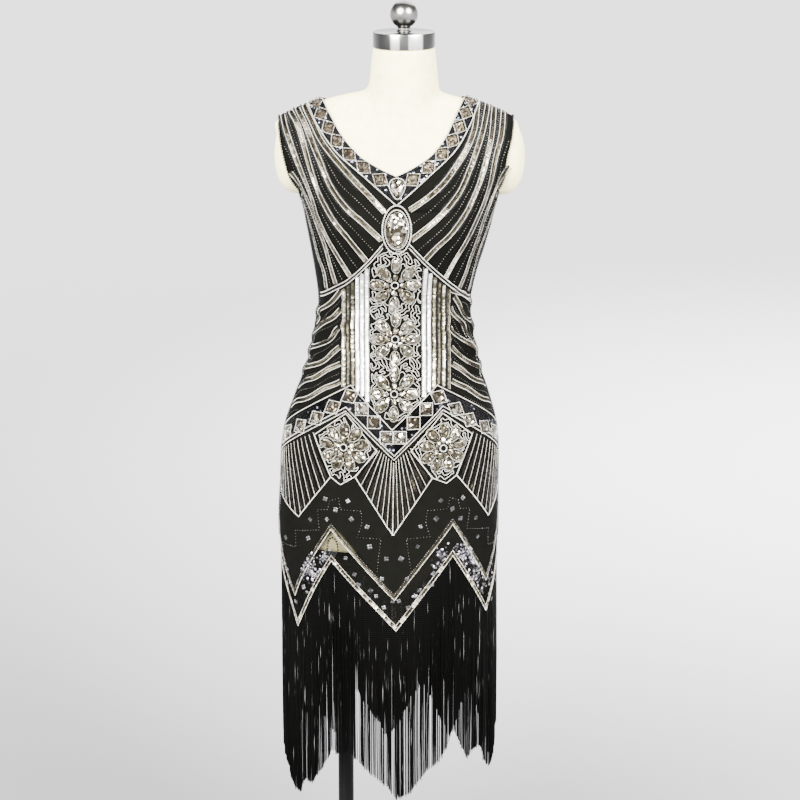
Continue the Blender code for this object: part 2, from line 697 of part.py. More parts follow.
def neck_jewel(name, surface):
    """A kite-shaped stone at the point of the neck trim."""
    centre = NECK_SHIFT + 1 * MM
    outline = []
    for across, up in ((0, 1), (0.75, 0.62), (1, 0.1), (0.5, -0.5), (0, -1), (-0.5, -0.5), (-1, 0.1), (-0.75, 0.62)):
        outline.append((centre + across * NECK_JEWEL_HALF_WIDTH, NECK_JEWEL_HEIGHT + up * NECK_JEWEL_HALF_HEIGHT, 0.0))
    crown = (centre, NECK_JEWEL_HEIGHT, STONE_RISE)
    faces = [(crown, first, second) for first, second in zip(outline, outline[1:] + outline[:1])]
    return wall(name, faces, raised(at, FRONT, NECK_JEWEL_LIFT), NECK_JEWEL_LIFT, TRIM, surface)


def bust_jewel(name, surface):
    """An oval stone in a raised frame."""
    rings = []
    for size, rise in BUST_JEWEL_RINGS:
        ring = []
        for k in range(BUST_JEWEL_SIDES):
            angle = 2 * math.pi * k / BUST_JEWEL_SIDES
            x = JEWEL_SHIFT + BUST_JEWEL_HALF_WIDTH * size * math.sin(angle)
            ring.append((x, BUST_JEWEL_HEIGHT + BUST_JEWEL_HALF_HEIGHT * size * math.cos(angle), rise))
        rings.append([*ring, ring[0]])
    crown = (JEWEL_SHIFT, BUST_JEWEL_HEIGHT, BUST_JEWEL_CROWN)
    inner = rings[-1]
    faces = grid_faces(rings) + [(first, second, crown) for first, second in zip(inner, inner[1:])]
    return wall(name, faces, raised(at, FRONT), TRIM_LIFT, TRIM, surface)


# ---------------------------------------------------------------- dress form and stand


def smooth_greater(first, second, blend):
    overlap = max(0.0, blend - abs(first - second)) / blend
    return max(first, second) + overlap * overlap * blend / 4


def form_radius(centre, direction, height):
    """Distance from a ring's centre to the form's skin in a direction of the plan."""
    grow = -through(FORM_INSETS, "inset", height)
    low, high = 0.0, 0.25
    for _ in range(22):
        radius = (low + high) / 2
        point = centre + radius * direction
        side = FRONT if point.y < 0 else BACK
        if abs(point.y) < body_depth(side, abs(point.x - middle(height)), height, grow) - 0.01 * MM:
            low = radius
        else:
            high = radius
    if height < NECK[0].height:
        return low
    wide, deep = through(NECK, "half_width", height), through(NECK, "half_depth", height)
    return smooth_greater(low, 1 / math.hypot(direction.x / wide, direction.y / deep), NECK_BLEND)


def form_ring(height, shrink=0.0):
    """A level ring of the form. Its centre leans from the body's middle to the neck's."""
    lean = min(1.0, max(0.0, (height - NECK[0].height) / 0.08))
    centre = Vector((middle(height) + (NECK_X - middle(height)) * lean, NECK_Y * lean))
    ring = []
    for k in range(FORM_COLUMNS):
        angle = 2 * math.pi * k / FORM_COLUMNS
        direction = Vector((1.7 * math.cos(angle), math.sin(angle))).normalized()
        point = centre + (form_radius(centre, direction, height) - shrink) * direction
        ring.append((*point, height))
    return ring


def arm_stub(row, surface):
    """The bar that stands for the top of an arm, from inside the shoulder to its rounded end."""
    rings = []
    for share in (0.0, 0.68, 0.82, 0.918, 0.977, 1.0):
        offset = STUB_START + (STUB_END - FORM_STUB_INSET - STUB_START) * share
        size = max(0.28, stub_size(offset, -FORM_STUB_INSET))
        ring = []
        for k in range(16):
            angle = 2 * math.pi * k / 16
            y = (STUB_HALF_DEPTH - FORM_STUB_INSET) * size * math.cos(angle)
            z = STUB_HEIGHT - row.lower + (STUB_HALF_HEIGHT - FORM_STUB_INSET) * size * math.sin(angle)
            ring.append((middle(STUB_HEIGHT) + row.x_side * (offset + row.longer * share), y, z))
        rings.append(ring)
    return tube(f"cutter_stub_{row.word}", rings, surface)


def torso(name, surface):
    """Bust, waist, hips and neck in one skin, with the two arm stubs joined to it."""
    levels = [form_ring(FORM_BOTTOM, FORM_RIM), *(form_ring(height) for height in FORM_LEVELS)]
    body = tube(name, levels, surface)
    for row in FORM_STUBS:
        stub = arm_stub(row, surface)
        stub.hide_render = True
        stub.display_type = "WIRE"
        join = body.modifiers.new(f"Join {row.word} stub", "BOOLEAN")
        join.operation = "UNION"
        join.solver = "EXACT"
        join.object = stub
    return body


def neck_cap(name, surface):
    bottom = FORM_LEVELS[-1] + SEAM_GAP
    top = bottom + CAP_HEIGHT
    profile = (
        (0, bottom),
        (CAP_RADIUS - CAP_EDGE, bottom),
        (CAP_RADIUS, bottom + CAP_EDGE),
        (CAP_RADIUS, top - CAP_EDGE),
        (CAP_RADIUS - CAP_EDGE, top),
        (0, top),
    )
    return turned(name, profile, surface, 32, (NECK_X, NECK_Y, 0))


def finial(name, surface):
    """A ball on a short stem that flares into it."""
    bottom = FORM_LEVELS[-1] + CAP_HEIGHT + 2 * SEAM_GAP
    centre = bottom + BALL_RISE
    profile = [(0, bottom), (STEM_RADIUS, bottom), (STEM_RADIUS, bottom + STEM_HEIGHT)]
    for degrees in range(-50, 80, 18):
        angle = math.radians(degrees)
        profile.append((BALL_RADIUS * math.cos(angle), centre + BALL_RADIUS * math.sin(angle)))
    profile.append((0, centre + BALL_RADIUS))
    return turned(name, profile, surface, 20, (NECK_X, NECK_Y, 0))


def stand(black, steel):
    """Base plate and hub on the floor, and the pole up to its collar under the torso."""
    collar_bottom = FORM_BOTTOM - SEAM_GAP - COLLAR_HEIGHT
    collar_middle, collar_top = collar_bottom + COLLAR_HEIGHT / 2, collar_bottom + COLLAR_HEIGHT
    hub_bottom = BASE_THICKNESS + SEAM_GAP
    hub_top = hub_bottom + HUB_HEIGHT
    plate = (
        (0, 0),
        (BASE_RADIUS - BASE_EDGE / 3, 0),
        (BASE_RADIUS, BASE_EDGE / 3),
        (BASE_RADIUS, BASE_THICKNESS - BASE_EDGE),
        (BASE_RADIUS - BASE_EDGE, BASE_THICKNESS),
        (0, BASE_THICKNESS),
    )
    hub = (
        (0, hub_bottom),
        (HUB_RADIUS, hub_bottom),
        (HUB_RADIUS, hub_top - BASE_EDGE),
        (HUB_RADIUS - BASE_EDGE, hub_top),
        (0, hub_top),
    )
    rod = (
        (0, hub_top + SEAM_GAP),
        (POLE_RADIUS, hub_top + SEAM_GAP),
        (POLE_RADIUS, collar_bottom - SEAM_GAP),
        (0, collar_bottom - SEAM_GAP),
    )
    collar = (
        (0, collar_bottom),
        (POLE_RADIUS + BASE_EDGE, collar_bottom),
        (COLLAR_RADIUS, collar_middle),
        (COLLAR_RADIUS, collar_top),
        (0, collar_top),
    )
    turned("base_plate", plate, black, 40, (0, 0, 0))
    turned("base_hub", hub, steel, 24, (POLE_X, 0, 0))
    turned("pole", rod, black, 24, (POLE_X, 0, 0))
    turned("pole_collar", collar, steel, 24, (POLE_X, 0, 0))


# ---------------------------------------------------------------- assembly


def build():
    for obj in list(bpy.data.objects):
        bpy.data.objects.remove(obj)

    net = material("beaded black net", (0.020, 0.019, 0.021), 0.75)
    lining_cloth = material("black lining", (0.012, 0.012, 0.013), 0.85)
    yarn = material("black fringe", (0.010, 0.010, 0.011), 0.55)
    gold = material("pale gold sequins", (0.62, 0.53, 0.38), 0.30, 0.8)
    silver = material("silver beads and stones", (0.78, 0.76, 0.72), 0.22, 0.6)
    cover = material("ivory cotton cover", (0.86, 0.82, 0.73), 0.80)
    chrome = material("polished steel", (0.62, 0.61, 0.59), 0.15, 1.0)
    black_metal = material("black painted steel", (0.015, 0.015, 0.016), 0.40)

    for word, side in (("front", FRONT), ("back", BACK)):
        panel(f"{word}_panel", side, net)
        lining(f"lining_{word}", side, lining_cloth)
        fringe(f"fringe_{word}", side, yarn)
        neck_trim(f"neck_trim_{word}", side, silver)
        hip_band(f"hip_band_{word}", side, silver)
        zigzag_band(f"sheer_band_{word}", side, SHEER_BAND_RISE, SHEER_BAND_WIDTH, gold)
        zigzag_band(f"hem_band_{word}", side, 0.0, HEM_BAND_WIDTH, gold)
    for row in FLOWERS:
        flower(row, silver)
    neck_jewel("neck_jewel", silver)
    bust_jewel("bust_jewel", silver)

    torso("torso", cover)
    neck_cap("neck_cap", chrome)
    finial("finial", chrome)
    stand(black_metal, chrome)


build()
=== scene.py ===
import itertools
import math
import random

import bmesh
import bpy
import numpy as np
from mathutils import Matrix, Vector


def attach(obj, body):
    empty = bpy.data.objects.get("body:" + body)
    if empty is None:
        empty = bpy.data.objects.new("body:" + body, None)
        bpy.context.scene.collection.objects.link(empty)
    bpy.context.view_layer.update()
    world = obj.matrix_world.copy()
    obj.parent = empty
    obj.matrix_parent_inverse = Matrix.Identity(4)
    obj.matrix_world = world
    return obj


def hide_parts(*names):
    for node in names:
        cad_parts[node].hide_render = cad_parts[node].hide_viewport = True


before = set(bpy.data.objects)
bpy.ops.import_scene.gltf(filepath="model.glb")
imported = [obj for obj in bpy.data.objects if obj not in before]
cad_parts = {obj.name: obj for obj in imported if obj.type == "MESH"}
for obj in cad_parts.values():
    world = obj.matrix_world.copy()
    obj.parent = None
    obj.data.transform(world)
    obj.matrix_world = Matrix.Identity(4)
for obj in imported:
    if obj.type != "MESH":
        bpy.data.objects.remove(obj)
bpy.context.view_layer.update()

random.seed(21)
chance = np.random.default_rng(21)
print("frame loaded", len(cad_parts), "parts")

# The figure that everything is laid out on, as the cloth's outer face

front, back = -1, 1
roundness = 2.3
girthRows = [  # height, half width, front, back, middle
    (0.500, 0.1650, 0.1060, 0.1060, -0.0060), (0.560, 0.1665, 0.1075, 0.1090, -0.0075),
    (0.620, 0.1705, 0.1085, 0.1140, -0.0110), (0.690, 0.1725, 0.1070, 0.1190, -0.0123),
    (0.760, 0.1705, 0.1050, 0.1200, -0.0108), (0.813, 0.1688, 0.1035, 0.1160, -0.0097),
    (0.852, 0.1636, 0.1025, 0.1090, -0.0082), (0.890, 0.1520, 0.1010, 0.1000, -0.0065),
    (0.930, 0.1386, 0.0995, 0.0915, -0.0055), (0.975, 0.1270, 0.0985, 0.0850, -0.0044),
    (1.012, 0.1205, 0.0985, 0.0820, -0.0040), (1.050, 0.1165, 0.1005, 0.0815, -0.0022),
    (1.090, 0.1225, 0.1070, 0.0855, -0.0006), (1.130, 0.1318, 0.1140, 0.0905, 0.0022),
    (1.165, 0.1400, 0.1180, 0.0945, 0.0040),
]
yokeRows = [  # height, half width, middle
    (1.165, 0.1400, 0.0040), (1.190, 0.1450, 0.0045), (1.205, 0.1490, 0.0048), (1.222, 0.1520, 0.0050),
    (1.236, 0.1570, 0.0050), (1.256, 0.1660, 0.0045), (1.280, 0.1780, 0.0035), (1.300, 0.1860, 0.0025),
    (1.320, 0.1910, 0.0010), (1.345, 0.1930, 0.0000),
]
armholeRows = [  # climb from the armpit to the shoulder ridge, offset
    (0.000, 0.1490), (0.060, 0.1500), (0.147, 0.1535), (0.220, 0.1605), (0.305, 0.1665),
    (0.400, 0.1700), (0.520, 0.1730), (0.640, 0.1760), (0.764, 0.1780), (1.000, 0.1790),
]
neckRows = [  # share of the way from the lowest point to the ridge, neckline, outer edge of the band
    (0.000, 0.0000, 0.0000), (0.074, 0.0203, 0.0145), (0.234, 0.0515, 0.0445), (0.476, 0.0763, 0.0860),
    (0.729, 0.0920, 0.1115), (1.000, 0.1075, 0.1294),
]
foldRows = [  # side, height, angle, reach, spread, depth, slope
    (-1, 1.036, 72, 26, 0.0070, 0.0026, 0.012), (-1, 1.004, 64, 30, 0.0085, 0.0038, 0.020),
    (-1, 0.972, 78, 34, 0.0090, 0.0032, 0.016), (-1, 0.938, 82, 26, 0.0085, 0.0022, 0.010),
    (1, 1.046, 80, 22, 0.0070, 0.0022, 0.010), (1, 1.016, 70, 30, 0.0085, 0.0034, 0.018),
    (1, 0.984, 66, 28, 0.0085, 0.0038, 0.022), (1, 0.950, 76, 32, 0.0090, 0.0026, 0.014),
]
figure = {
    "chest": 1.165, "chestDepth": 0.118, "armpit": 1.205, "ridgeTop": 1.3775, "ridgeFall": 1.40,
    "chestArch": {front: 1.6, back: 2.3}, "neckShift": -0.004,
    "neckLow": {front: 0.30, back: 0.46}, "bandLow": {front: 0.06, back: 0.22},
    "cupX": 0.068, "cupHeight": 1.166, "cupDepth": 0.009, "cupWidth": 0.042, "cupRise": 0.045,
    "stubHeight": 1.272, "stubHalfHeight": 0.0625, "stubHalfDepth": 0.05,
    "rightDeeper": 0.0095, "rightReach": 0.33,
    "stubStart": 0.080, "stubFull": 0.130, "stubRound": 0.155, "stubEnd": 0.1945,
}


def unit(vectors):
    return vectors / np.maximum(1e-9, np.linalg.norm(vectors, axis=-1, keepdims=True))


def flattened(vectors, outward):  # laid into the cloth, with unit length
    return unit(vectors - outward * np.sum(vectors * outward, axis=-1, keepdims=True))


def runLength(points):  # the length of a line up to each of its points
    return np.concatenate([[0], np.cumsum(np.linalg.norm(np.diff(points, axis=0), axis=1))])


def between(rows, at, places=None):  # a table of rows, read off between them
    places = np.arange(len(rows)) if places is None else places
    return np.stack([np.interp(at, places, column) for column in np.transpose(rows)], 1)


def readOff(rows, at):  # the second column of a table, over its first
    return np.interp(at, *zip(*sorted(map(tuple, rows))))


def through(rows, column):  # a smooth curve through one column of a table, over its first
    rows = np.array(rows, float)
    x, y = rows[:, 0], rows[:, column]
    index = np.arange(len(x))
    low, high = np.maximum(index - 1, 0), np.minimum(index + 1, len(x) - 1)
    slope = (y[high] - y[low]) / (x[high] - x[low])
    place = np.linspace(x[0], x[-1], 1500)
    k = np.clip(np.searchsorted(x, place, "right") - 1, 0, len(x) - 2)
    span = x[k + 1] - x[k]
    t = (place - x[k]) / span
    value = (2 * t**3 - 3 * t**2 + 1) * y[k] + (t**3 - 2 * t**2 + t) * span * slope[k]
    value += (3 * t**2 - 2 * t**3) * y[k + 1] + (t**3 - t**2) * span * slope[k + 1]
    return lambda at: np.interp(at, place, value)


girthHalf, girthMiddle = through(girthRows, 1), through(girthRows, 4)
yokeHalf, yokeMiddle = through(yokeRows, 1), through(yokeRows, 2)
depthMost = {front: through(girthRows, 2), back: through(girthRows, 3)}
neckInner, neckOuter = through(neckRows, 1), through(neckRows, 2)
armholeClimb, armholeX = np.array(armholeRows).T


def halfWidth(z):
    return np.where(z < figure["chest"], girthHalf(z), yokeHalf(z))


def middle(z):
    return np.where(z < figure["chest"], girthMiddle(z), yokeMiddle(z))


def ridge(x):
    return figure["ridgeTop"] - figure["ridgeFall"] * x * x


armholeZ = figure["armpit"] + armholeClimb * (ridge(armholeX) - figure["armpit"])


def edgeWidth(z):  # the cloth's edge: the side seam, and the armhole above it
    return np.where(z < figure["armpit"], halfWidth(z), np.interp(z, armholeZ, armholeX))


def armholeEdge(hand, climb):  # the right armhole is cut a little deeper
    deeper = figure["rightDeeper"] * (hand > 0) * np.exp(-(((climb - 0.5) / figure["rightReach"]) ** 2))
    return hand * (np.interp(climb, armholeClimb, armholeX) - deeper)


def bodyDepth(side, x, z, grow=0.0):
    most = depthMost[side](np.minimum(z, figure["chest"])) + grow
    share = np.clip(x / (halfWidth(z) + grow), 0, 1)
    out = most * (1 - share**roundness) ** (1 / roundness)
    if side == front:
        across = (x - figure["cupX"]) / figure["cupWidth"]
        up = (z - figure["cupHeight"]) / figure["cupRise"]
        out = out * (1 + figure["cupDepth"] / figure["chestDepth"] * np.exp(-(across**2 + up**2)))
    top = np.maximum(0.001, ridge(x) + grow - figure["chest"])
    climbed = np.clip((z - figure["chest"]) / top, 0, 1)
    arch = figure["chestArch"][side]
    return out * (1 - climbed**arch) ** (1 / arch)


def stubDepth(x, z):
    start = np.clip((x - figure["stubStart"]) / (figure["stubFull"] - figure["stubStart"]), 0, 1)
    along = np.clip((x - figure["stubRound"]) / (figure["stubEnd"] - figure["stubRound"]), 0, 1)
    inside = 1 - along**2.4 - ((z - figure["stubHeight"]) / figure["stubHalfHeight"]) ** 2
    depth = start * figure["stubHalfDepth"] * np.sqrt(np.clip(inside, 0, 1))
    return np.where(z > figure["chest"], depth, 0)


def clothDepth(side, x, z):
    return (bodyDepth(side, x, z) ** 4 + stubDepth(x, z) ** 4) ** 0.25


def foldDepth(xSide, angle, z):
    pushed = np.zeros_like(z)
    for side, height, centre, reach, spread, depth, slope in foldRows:
        along = (np.degrees(angle) - centre) / reach
        over = np.clip((z - height + slope * along) / spread, -6, 6)
        pushed += np.where(xSide == side, depth * np.exp(-(along**2) - over**2 / 2) * (1 - over**2), 0)
    return pushed


# A spot is a pair: the angle round the girth in degrees, from -90 to 90, and the height
def onCloth(side, spots, lift=0.0):  # points and outward directions of spots
    spots = np.asarray(spots, float)
    z, step = spots[:, 1], 0.0002
    xSide = np.where(spots[:, 0] < 0, -1.0, 1.0)
    turn = np.sin(np.radians(np.clip(abs(spots[:, 0]), 0, 90)))
    x = edgeWidth(z) * turn ** (2 / roundness)
    out = clothDepth(side, x, z)
    slopeX = np.where(x > step, (out - clothDepth(side, np.maximum(0, x - step), z)) / step, 0)
    slopeZ = (out - clothDepth(side, x, z - step)) / step
    outward = unit(np.stack([-slopeX * xSide, np.full_like(z, side), -slopeZ], 1))
    angle = np.arcsin(np.clip(x / halfWidth(z), 0, 1) ** (roundness / 2))
    pushed = foldDepth(xSide, angle, z)
    across, out = x + pushed * np.sin(angle), out + pushed * np.cos(angle)
    point = np.stack([middle(z) + xSide * across, side * out, z], 1)
    point += outward * np.broadcast_to(np.asarray(lift, float), z.shape)[:, None]
    point[:, 1] = side * np.maximum(0.00015, side * point[:, 1])
    return point, outward


def fromFront(x, z):  # spots from offsets and heights, as seen from the front
    x, z = np.broadcast_arrays(np.atleast_1d(x), np.atleast_1d(z))
    share = np.clip(abs(x) / edgeWidth(z), 0, 1)
    return np.stack([np.sign(x) * np.degrees(np.arcsin(share ** (roundness / 2))), z], 1)


girthLevels = np.arange(0.50, 1.2051, 0.005)
girthAngles = np.arange(0, 91, 1.5)


def girthTable(side):  # length round the girth up to each angle, at each level
    levels = [np.stack([girthAngles, np.full_like(girthAngles, level)], 1) for level in girthLevels]
    return np.array([runLength(onCloth(side, level)[0]) for level in levels])


girths = {front: girthTable(front), back: girthTable(back)}


def halfGirth(side, z):
    return np.interp(z, girthLevels, girths[side][:, -1])


def fromGirth(side, arc, z):  # spots from lengths round the girth, from the centre, and heights
    arc, z = np.broadcast_arrays(np.atleast_1d(arc), np.atleast_1d(z))
    share = np.clip(abs(arc) / halfGirth(side, z), 0, 1)
    level = np.clip((z - girthLevels[0]) / 0.005, 0, len(girthLevels) - 1.001)
    angles = []
    for s, k in zip(share, level):
        low, high = girths[side][int(k)], girths[side][int(k) + 1]
        mixed = low / low[-1] * (1 - k % 1) + high / high[-1] * (k % 1)
        angles.append(np.interp(s, mixed, girthAngles))
    return np.stack([np.sign(arc) * np.array(angles), z], 1)


def girthShare(side, spots):  # the share of the way round to the side seam
    level = np.clip((spots[:, 1] - girthLevels[0]) / 0.005, 0, len(girthLevels) - 1).astype(int)
    rows = girths[side][level]
    arcs = [np.interp(abs(angle), girthAngles, row) / row[-1] for angle, row in zip(spots[:, 0], rows)]
    return np.sign(spots[:, 0]) * np.array(arcs)


def fromPoint(point):  # spots from points near the cloth
    return fromFront(point[:, 0] - middle(point[:, 2]), point[:, 2])


# Lines on the cloth


def dense(keys, count=24):  # straight runs between keys
    return between(keys, np.linspace(0, len(keys) - 1, (len(keys) - 1) * count + 1))


def frontLine(keys):  # a soft curve through keys in millimetres: offset and height
    keys = np.array(keys, float)
    rows = np.column_stack([runLength(keys), keys])
    at = np.linspace(0, rows[-1, 0], (len(keys) - 1) * 16 + 1)
    return fromFront(through(rows, 1)(at) / 1000, through(rows, 2)(at) / 1000)


def shifted(keys, amount):
    return [(across, z + amount) for across, z in keys]


def girthLine(side, keys):
    return fromGirth(side, *dense(keys).T)


def rounded(loop):  # cuts the corners of a closed loop, four times over
    for _ in range(4):
        after = np.roll(loop, -1, axis=0)
        loop = np.stack([loop * 0.75 + after * 0.25, loop * 0.25 + after * 0.75], 1).reshape(-1, 2)
    return loop


def stations(side, spots, spacing, lift):  # even steps along a line, on the cloth
    run = runLength(onCloth(side, spots)[0])
    if run[-1] < spacing:
        return None
    count = max(2, int(round(run[-1] / spacing)))
    at = (np.arange(count) + 0.5) / count * run[-1]
    point, outward = onCloth(side, between(spots, at, run), lift)
    return point, outward, unit(np.gradient(point, axis=0))


def turnRound(vectors, axes, angles):  # turns vectors about unit axes
    c, s = np.cos(angles)[:, None], np.sin(angles)[:, None]
    return vectors * c + np.cross(axes, vectors) * s + axes * np.sum(axes * vectors, 1)[:, None] * (1 - c)


# Beads, sequins and stones are gathered here by piece, and sewn on at the end

sewing = {}


def paintedGlare(point):  # painted highlight: slow changes over the cloth, from 0 to 1, for stretches painted brighter as though they catch the light
    x, y, z = point.T
    wave = np.sin(71 * x + 23 * z + 1.3) + np.sin(-37 * x + 83 * z)
    wave += np.sin(129 * x - 57 * z + 40 * y + 2.1)
    return np.clip(0.5 + wave / 4, 0, 1)


def sewOn(piece, point, outward, along, size, tone):
    size = np.broadcast_to(np.asarray(size, float), (len(point), 3))
    tone = np.broadcast_to(np.asarray(tone, float), (len(point),))
    rows = sewing.setdefault(piece, {"point": [], "outward": [], "along": [], "size": [], "tone": []})
    for held, more in zip(rows.values(), (point, outward, along, size, tone)):
        held.append(more)


rope = {"spacing": 0.0031, "size": np.array([0.0021, 0.00088, 0.00088]), "twist": 24, "lift": 0.0008}


def sewRope(piece, side, spots, lift=0.0, size=1.0, bright=(0.58, 1.0)):  # a row of small silver beads
    row = stations(side, spots, rope["spacing"] * size, lift + rope["lift"] * size)
    if row is None:
        return
    point, outward, along = row
    along = turnRound(along, outward, np.full(len(point), math.radians(rope["twist"])))
    sewOn(piece, point, outward, along, rope["size"] * size, chance.uniform(*bright, len(point)))


def sewDots(piece, side, spots, spacing=0.0044, radius=0.0008, lift=0.0, bright=(0.4, 0.95)):
    row = stations(side, spots, spacing, lift + radius * 0.7)
    if row is not None:
        sewOn(piece, *row, radius, chance.uniform(*bright, len(row[0])))


def sewJets(side, spots, spacing, radius, lift=0.0):  # small black beads
    sewDots("jetBeads", side, spots, spacing, radius, lift, (0.0, 1.0))


def beside(point, over):  # the lines at both sides of a line
    return [fromPoint(point + over * way) for way in (-1, 1)]


def sewSequins(  # lapped, their tone between chance and a painted highlight that drifts over the cloth
    piece, side, spots, width, lift=0.0, bright=(0.1, 0.9), pitch=0.5, glareWeight=0.65, curve=1.0
):
    row = stations(side, spots, width * pitch, lift + 0.0009)
    if row is None:
        return
    point, outward, along = row
    over = np.cross(outward, along)
    lean = np.radians(8 + chance.normal(0, 5, len(point)))
    outward = turnRound(outward, over, -lean)
    outward = turnRound(outward, along, np.radians(chance.normal(0, 5, len(point))))
    along = np.cross(over, outward)
    share = (1 - glareWeight) * chance.uniform(0, 1, len(point)) + glareWeight * paintedGlare(point)
    sewOn(piece, point, outward, along, width / 2, bright[0] + (bright[1] - bright[0]) * share**curve)


def sequinStripe(ropes, sequins, side, spots, width, bright):  # between two ropes
    sewSequins(sequins, side, spots, width, bright=bright, glareWeight=0.8, curve=1.7)
    point, outward = onCloth(side, spots)
    over = np.cross(outward, unit(np.gradient(point, axis=0))) * (width / 2 + 0.0008)
    for line in beside(point, over):
        sewRope(ropes, side, line, 0.0, 0.62)


turn = np.linspace(0, 2 * np.pi, 37)
narrowing = 0.4  # how much narrower and wider the ends of a drop are
outlines = {
    "diamond": dense([(1, 0), (0, 1), (-1, 0), (0, -1), (1, 0)], 6),
    "square": dense([(1, 1), (-1, 1), (-1, -1), (1, -1), (1, 1)], 6),
    "oval": np.stack([np.cos(turn), np.sin(turn)], 1),
    "drop": np.stack([np.cos(turn), np.sin(turn) * (1 + narrowing * np.cos(turn))], 1),
}


def frameRound(side, spot, along, halfLong, halfWide, shape, lift=0.0):  # a closed line round a stone
    point, outward = (found[0] for found in onCloth(side, np.array([spot]), lift))
    along = flattened(along, outward)
    over, corners = np.cross(outward, along), outlines[shape]
    return fromPoint(point + corners[:, :1] * along * halfLong + corners[:, 1:] * over * halfWide)


# Node groups and materials


def setInputs(tree, node, values):  # by number or name: sockets are linked, and all else is set
    for name, value in values.items():
        target = node.inputs[name if isinstance(name, int) else name.replace("_", " ")]
        if isinstance(value, bpy.types.NodeSocket):
            tree.links.new(value, target)
        else:
            target.default_value = value


def nodeIn(tree, kind, numbered=None, **values):  # small letters name settings, capitals name inputs
    node = tree.nodes.new(kind if "Node" in kind else "ShaderNode" + kind)
    for name in [name for name in values if name[0].islower()]:
        setattr(node, name, values.pop(name))
    setInputs(tree, node, {**(numbered or {}), **values})
    return node


def newGroup(name, inputs, outputs):
    group = bpy.data.node_groups.new(name, "ShaderNodeTree")
    for label, kind in inputs.items():
        group.interface.new_socket(label, in_out="INPUT", socket_type="NodeSocket" + kind)
    for label, kind in outputs.items():
        group.interface.new_socket(label, in_out="OUTPUT", socket_type="NodeSocket" + kind)
    return group, group.nodes.new("NodeGroupInput").outputs, group.nodes.new("NodeGroupOutput")


def makeToneGroup():  # three colours by one value, so that no two beads are alike
    inputs = {"Tone": "Float", "Dark": "Color", "Middle": "Color", "Bright": "Color"}
    group, source, sink = newGroup("bead tone", inputs, {"Color": "Color"})
    low = nodeIn(group, "MapRange", Value=source["Tone"], From_Max=0.55).outputs["Result"]
    high = nodeIn(group, "MapRange", Value=source["Tone"], From_Min=0.55).outputs["Result"]
    first = nodeIn(group, "Mix", {0: low, 6: source["Dark"], 7: source["Middle"]}, data_type="RGBA")
    second = nodeIn(group, "Mix", {0: high, 6: first.outputs[2], 7: source["Bright"]}, data_type="RGBA")
    setInputs(group, sink, {"Color": second.outputs[2]})
    return group


def makeWeaveGroup():  # threads that cross, as a height and as a mask of the holes
    inputs = {"Vector": "Vector", "Threads": "Float"}
    group, source, sink = newGroup("woven threads", inputs, {"Height": "Float", "Holes": "Float"})
    scaled = nodeIn(group, "VectorMath", {0: source["Vector"]}, operation="SCALE", Scale=source["Threads"])
    parts = nodeIn(group, "SeparateXYZ", Vector=scaled.outputs["Vector"]).outputs
    waves = {}
    for k in (0, 1):
        turned = nodeIn(group, "Math", {0: parts[k], 1: 2 * math.pi}, operation="MULTIPLY")
        waves[k] = nodeIn(group, "Math", {0: turned.outputs[0]}, operation="SINE").outputs[0]
    most = nodeIn(group, "Math", waves, operation="MAXIMUM").outputs[0]
    holes = nodeIn(group, "Math", {0: most, 1: 0.1}, operation="LESS_THAN")
    setInputs(group, sink, {"Height": most, "Holes": holes.outputs[0]})
    return group


toneGroup, weaveGroup = makeToneGroup(), makeWeaveGroup()


def toned(tree, tone, dark, mid, bright):
    colours = {"Dark": (*dark, 1), "Middle": (*mid, 1), "Bright": (*bright, 1)}
    return nodeIn(tree, "Group", node_tree=toneGroup, Tone=tone, **colours).outputs["Color"]


def ranged(tree, value, **ends):
    return nodeIn(tree, "MapRange", Value=value, **ends).outputs["Result"]


def bumped(tree, height, strength, distance):
    return nodeIn(tree, "Bump", Height=height, Strength=strength, Distance=distance).outputs["Normal"]


def noiseIn(tree, place, scale, detail):
    return nodeIn(tree, "TexNoise", Vector=place, Scale=scale, Detail=detail).outputs["Fac"]


def objectPlace(tree):
    return nodeIn(tree, "TexCoord").outputs["Object"]


def pointValue(tree, name):
    return nodeIn(tree, "Attribute", attribute_name=name).outputs["Fac"]


def newFinish(name, colour, roughness, metallic=0.0, **sockets):
    made = bpy.data.materials.new(name)
    made.use_nodes = True
    shader = made.node_tree.nodes["Principled BSDF"]
    plain = {"Base_Color": (*colour, 1), "Roughness": roughness, "Metallic": metallic}
    setInputs(made.node_tree, shader, {**plain, **sockets})
    return made, made.node_tree, shader


def beadFinish(name, dark, mid, bright, roughness, metallic, **sockets):
    made, tree, shader = newFinish(name, mid, roughness, metallic, **sockets)
    grain = noiseIn(tree, objectPlace(tree), 900.0, 2.0)
    rough = ranged(tree, grain, To_Min=roughness * 0.6, To_Max=roughness * 1.5)
    colour = toned(tree, pointValue(tree, "tone"), dark, mid, bright)
    setInputs(tree, shader, {"Base_Color": colour, "Roughness": rough})
    return made


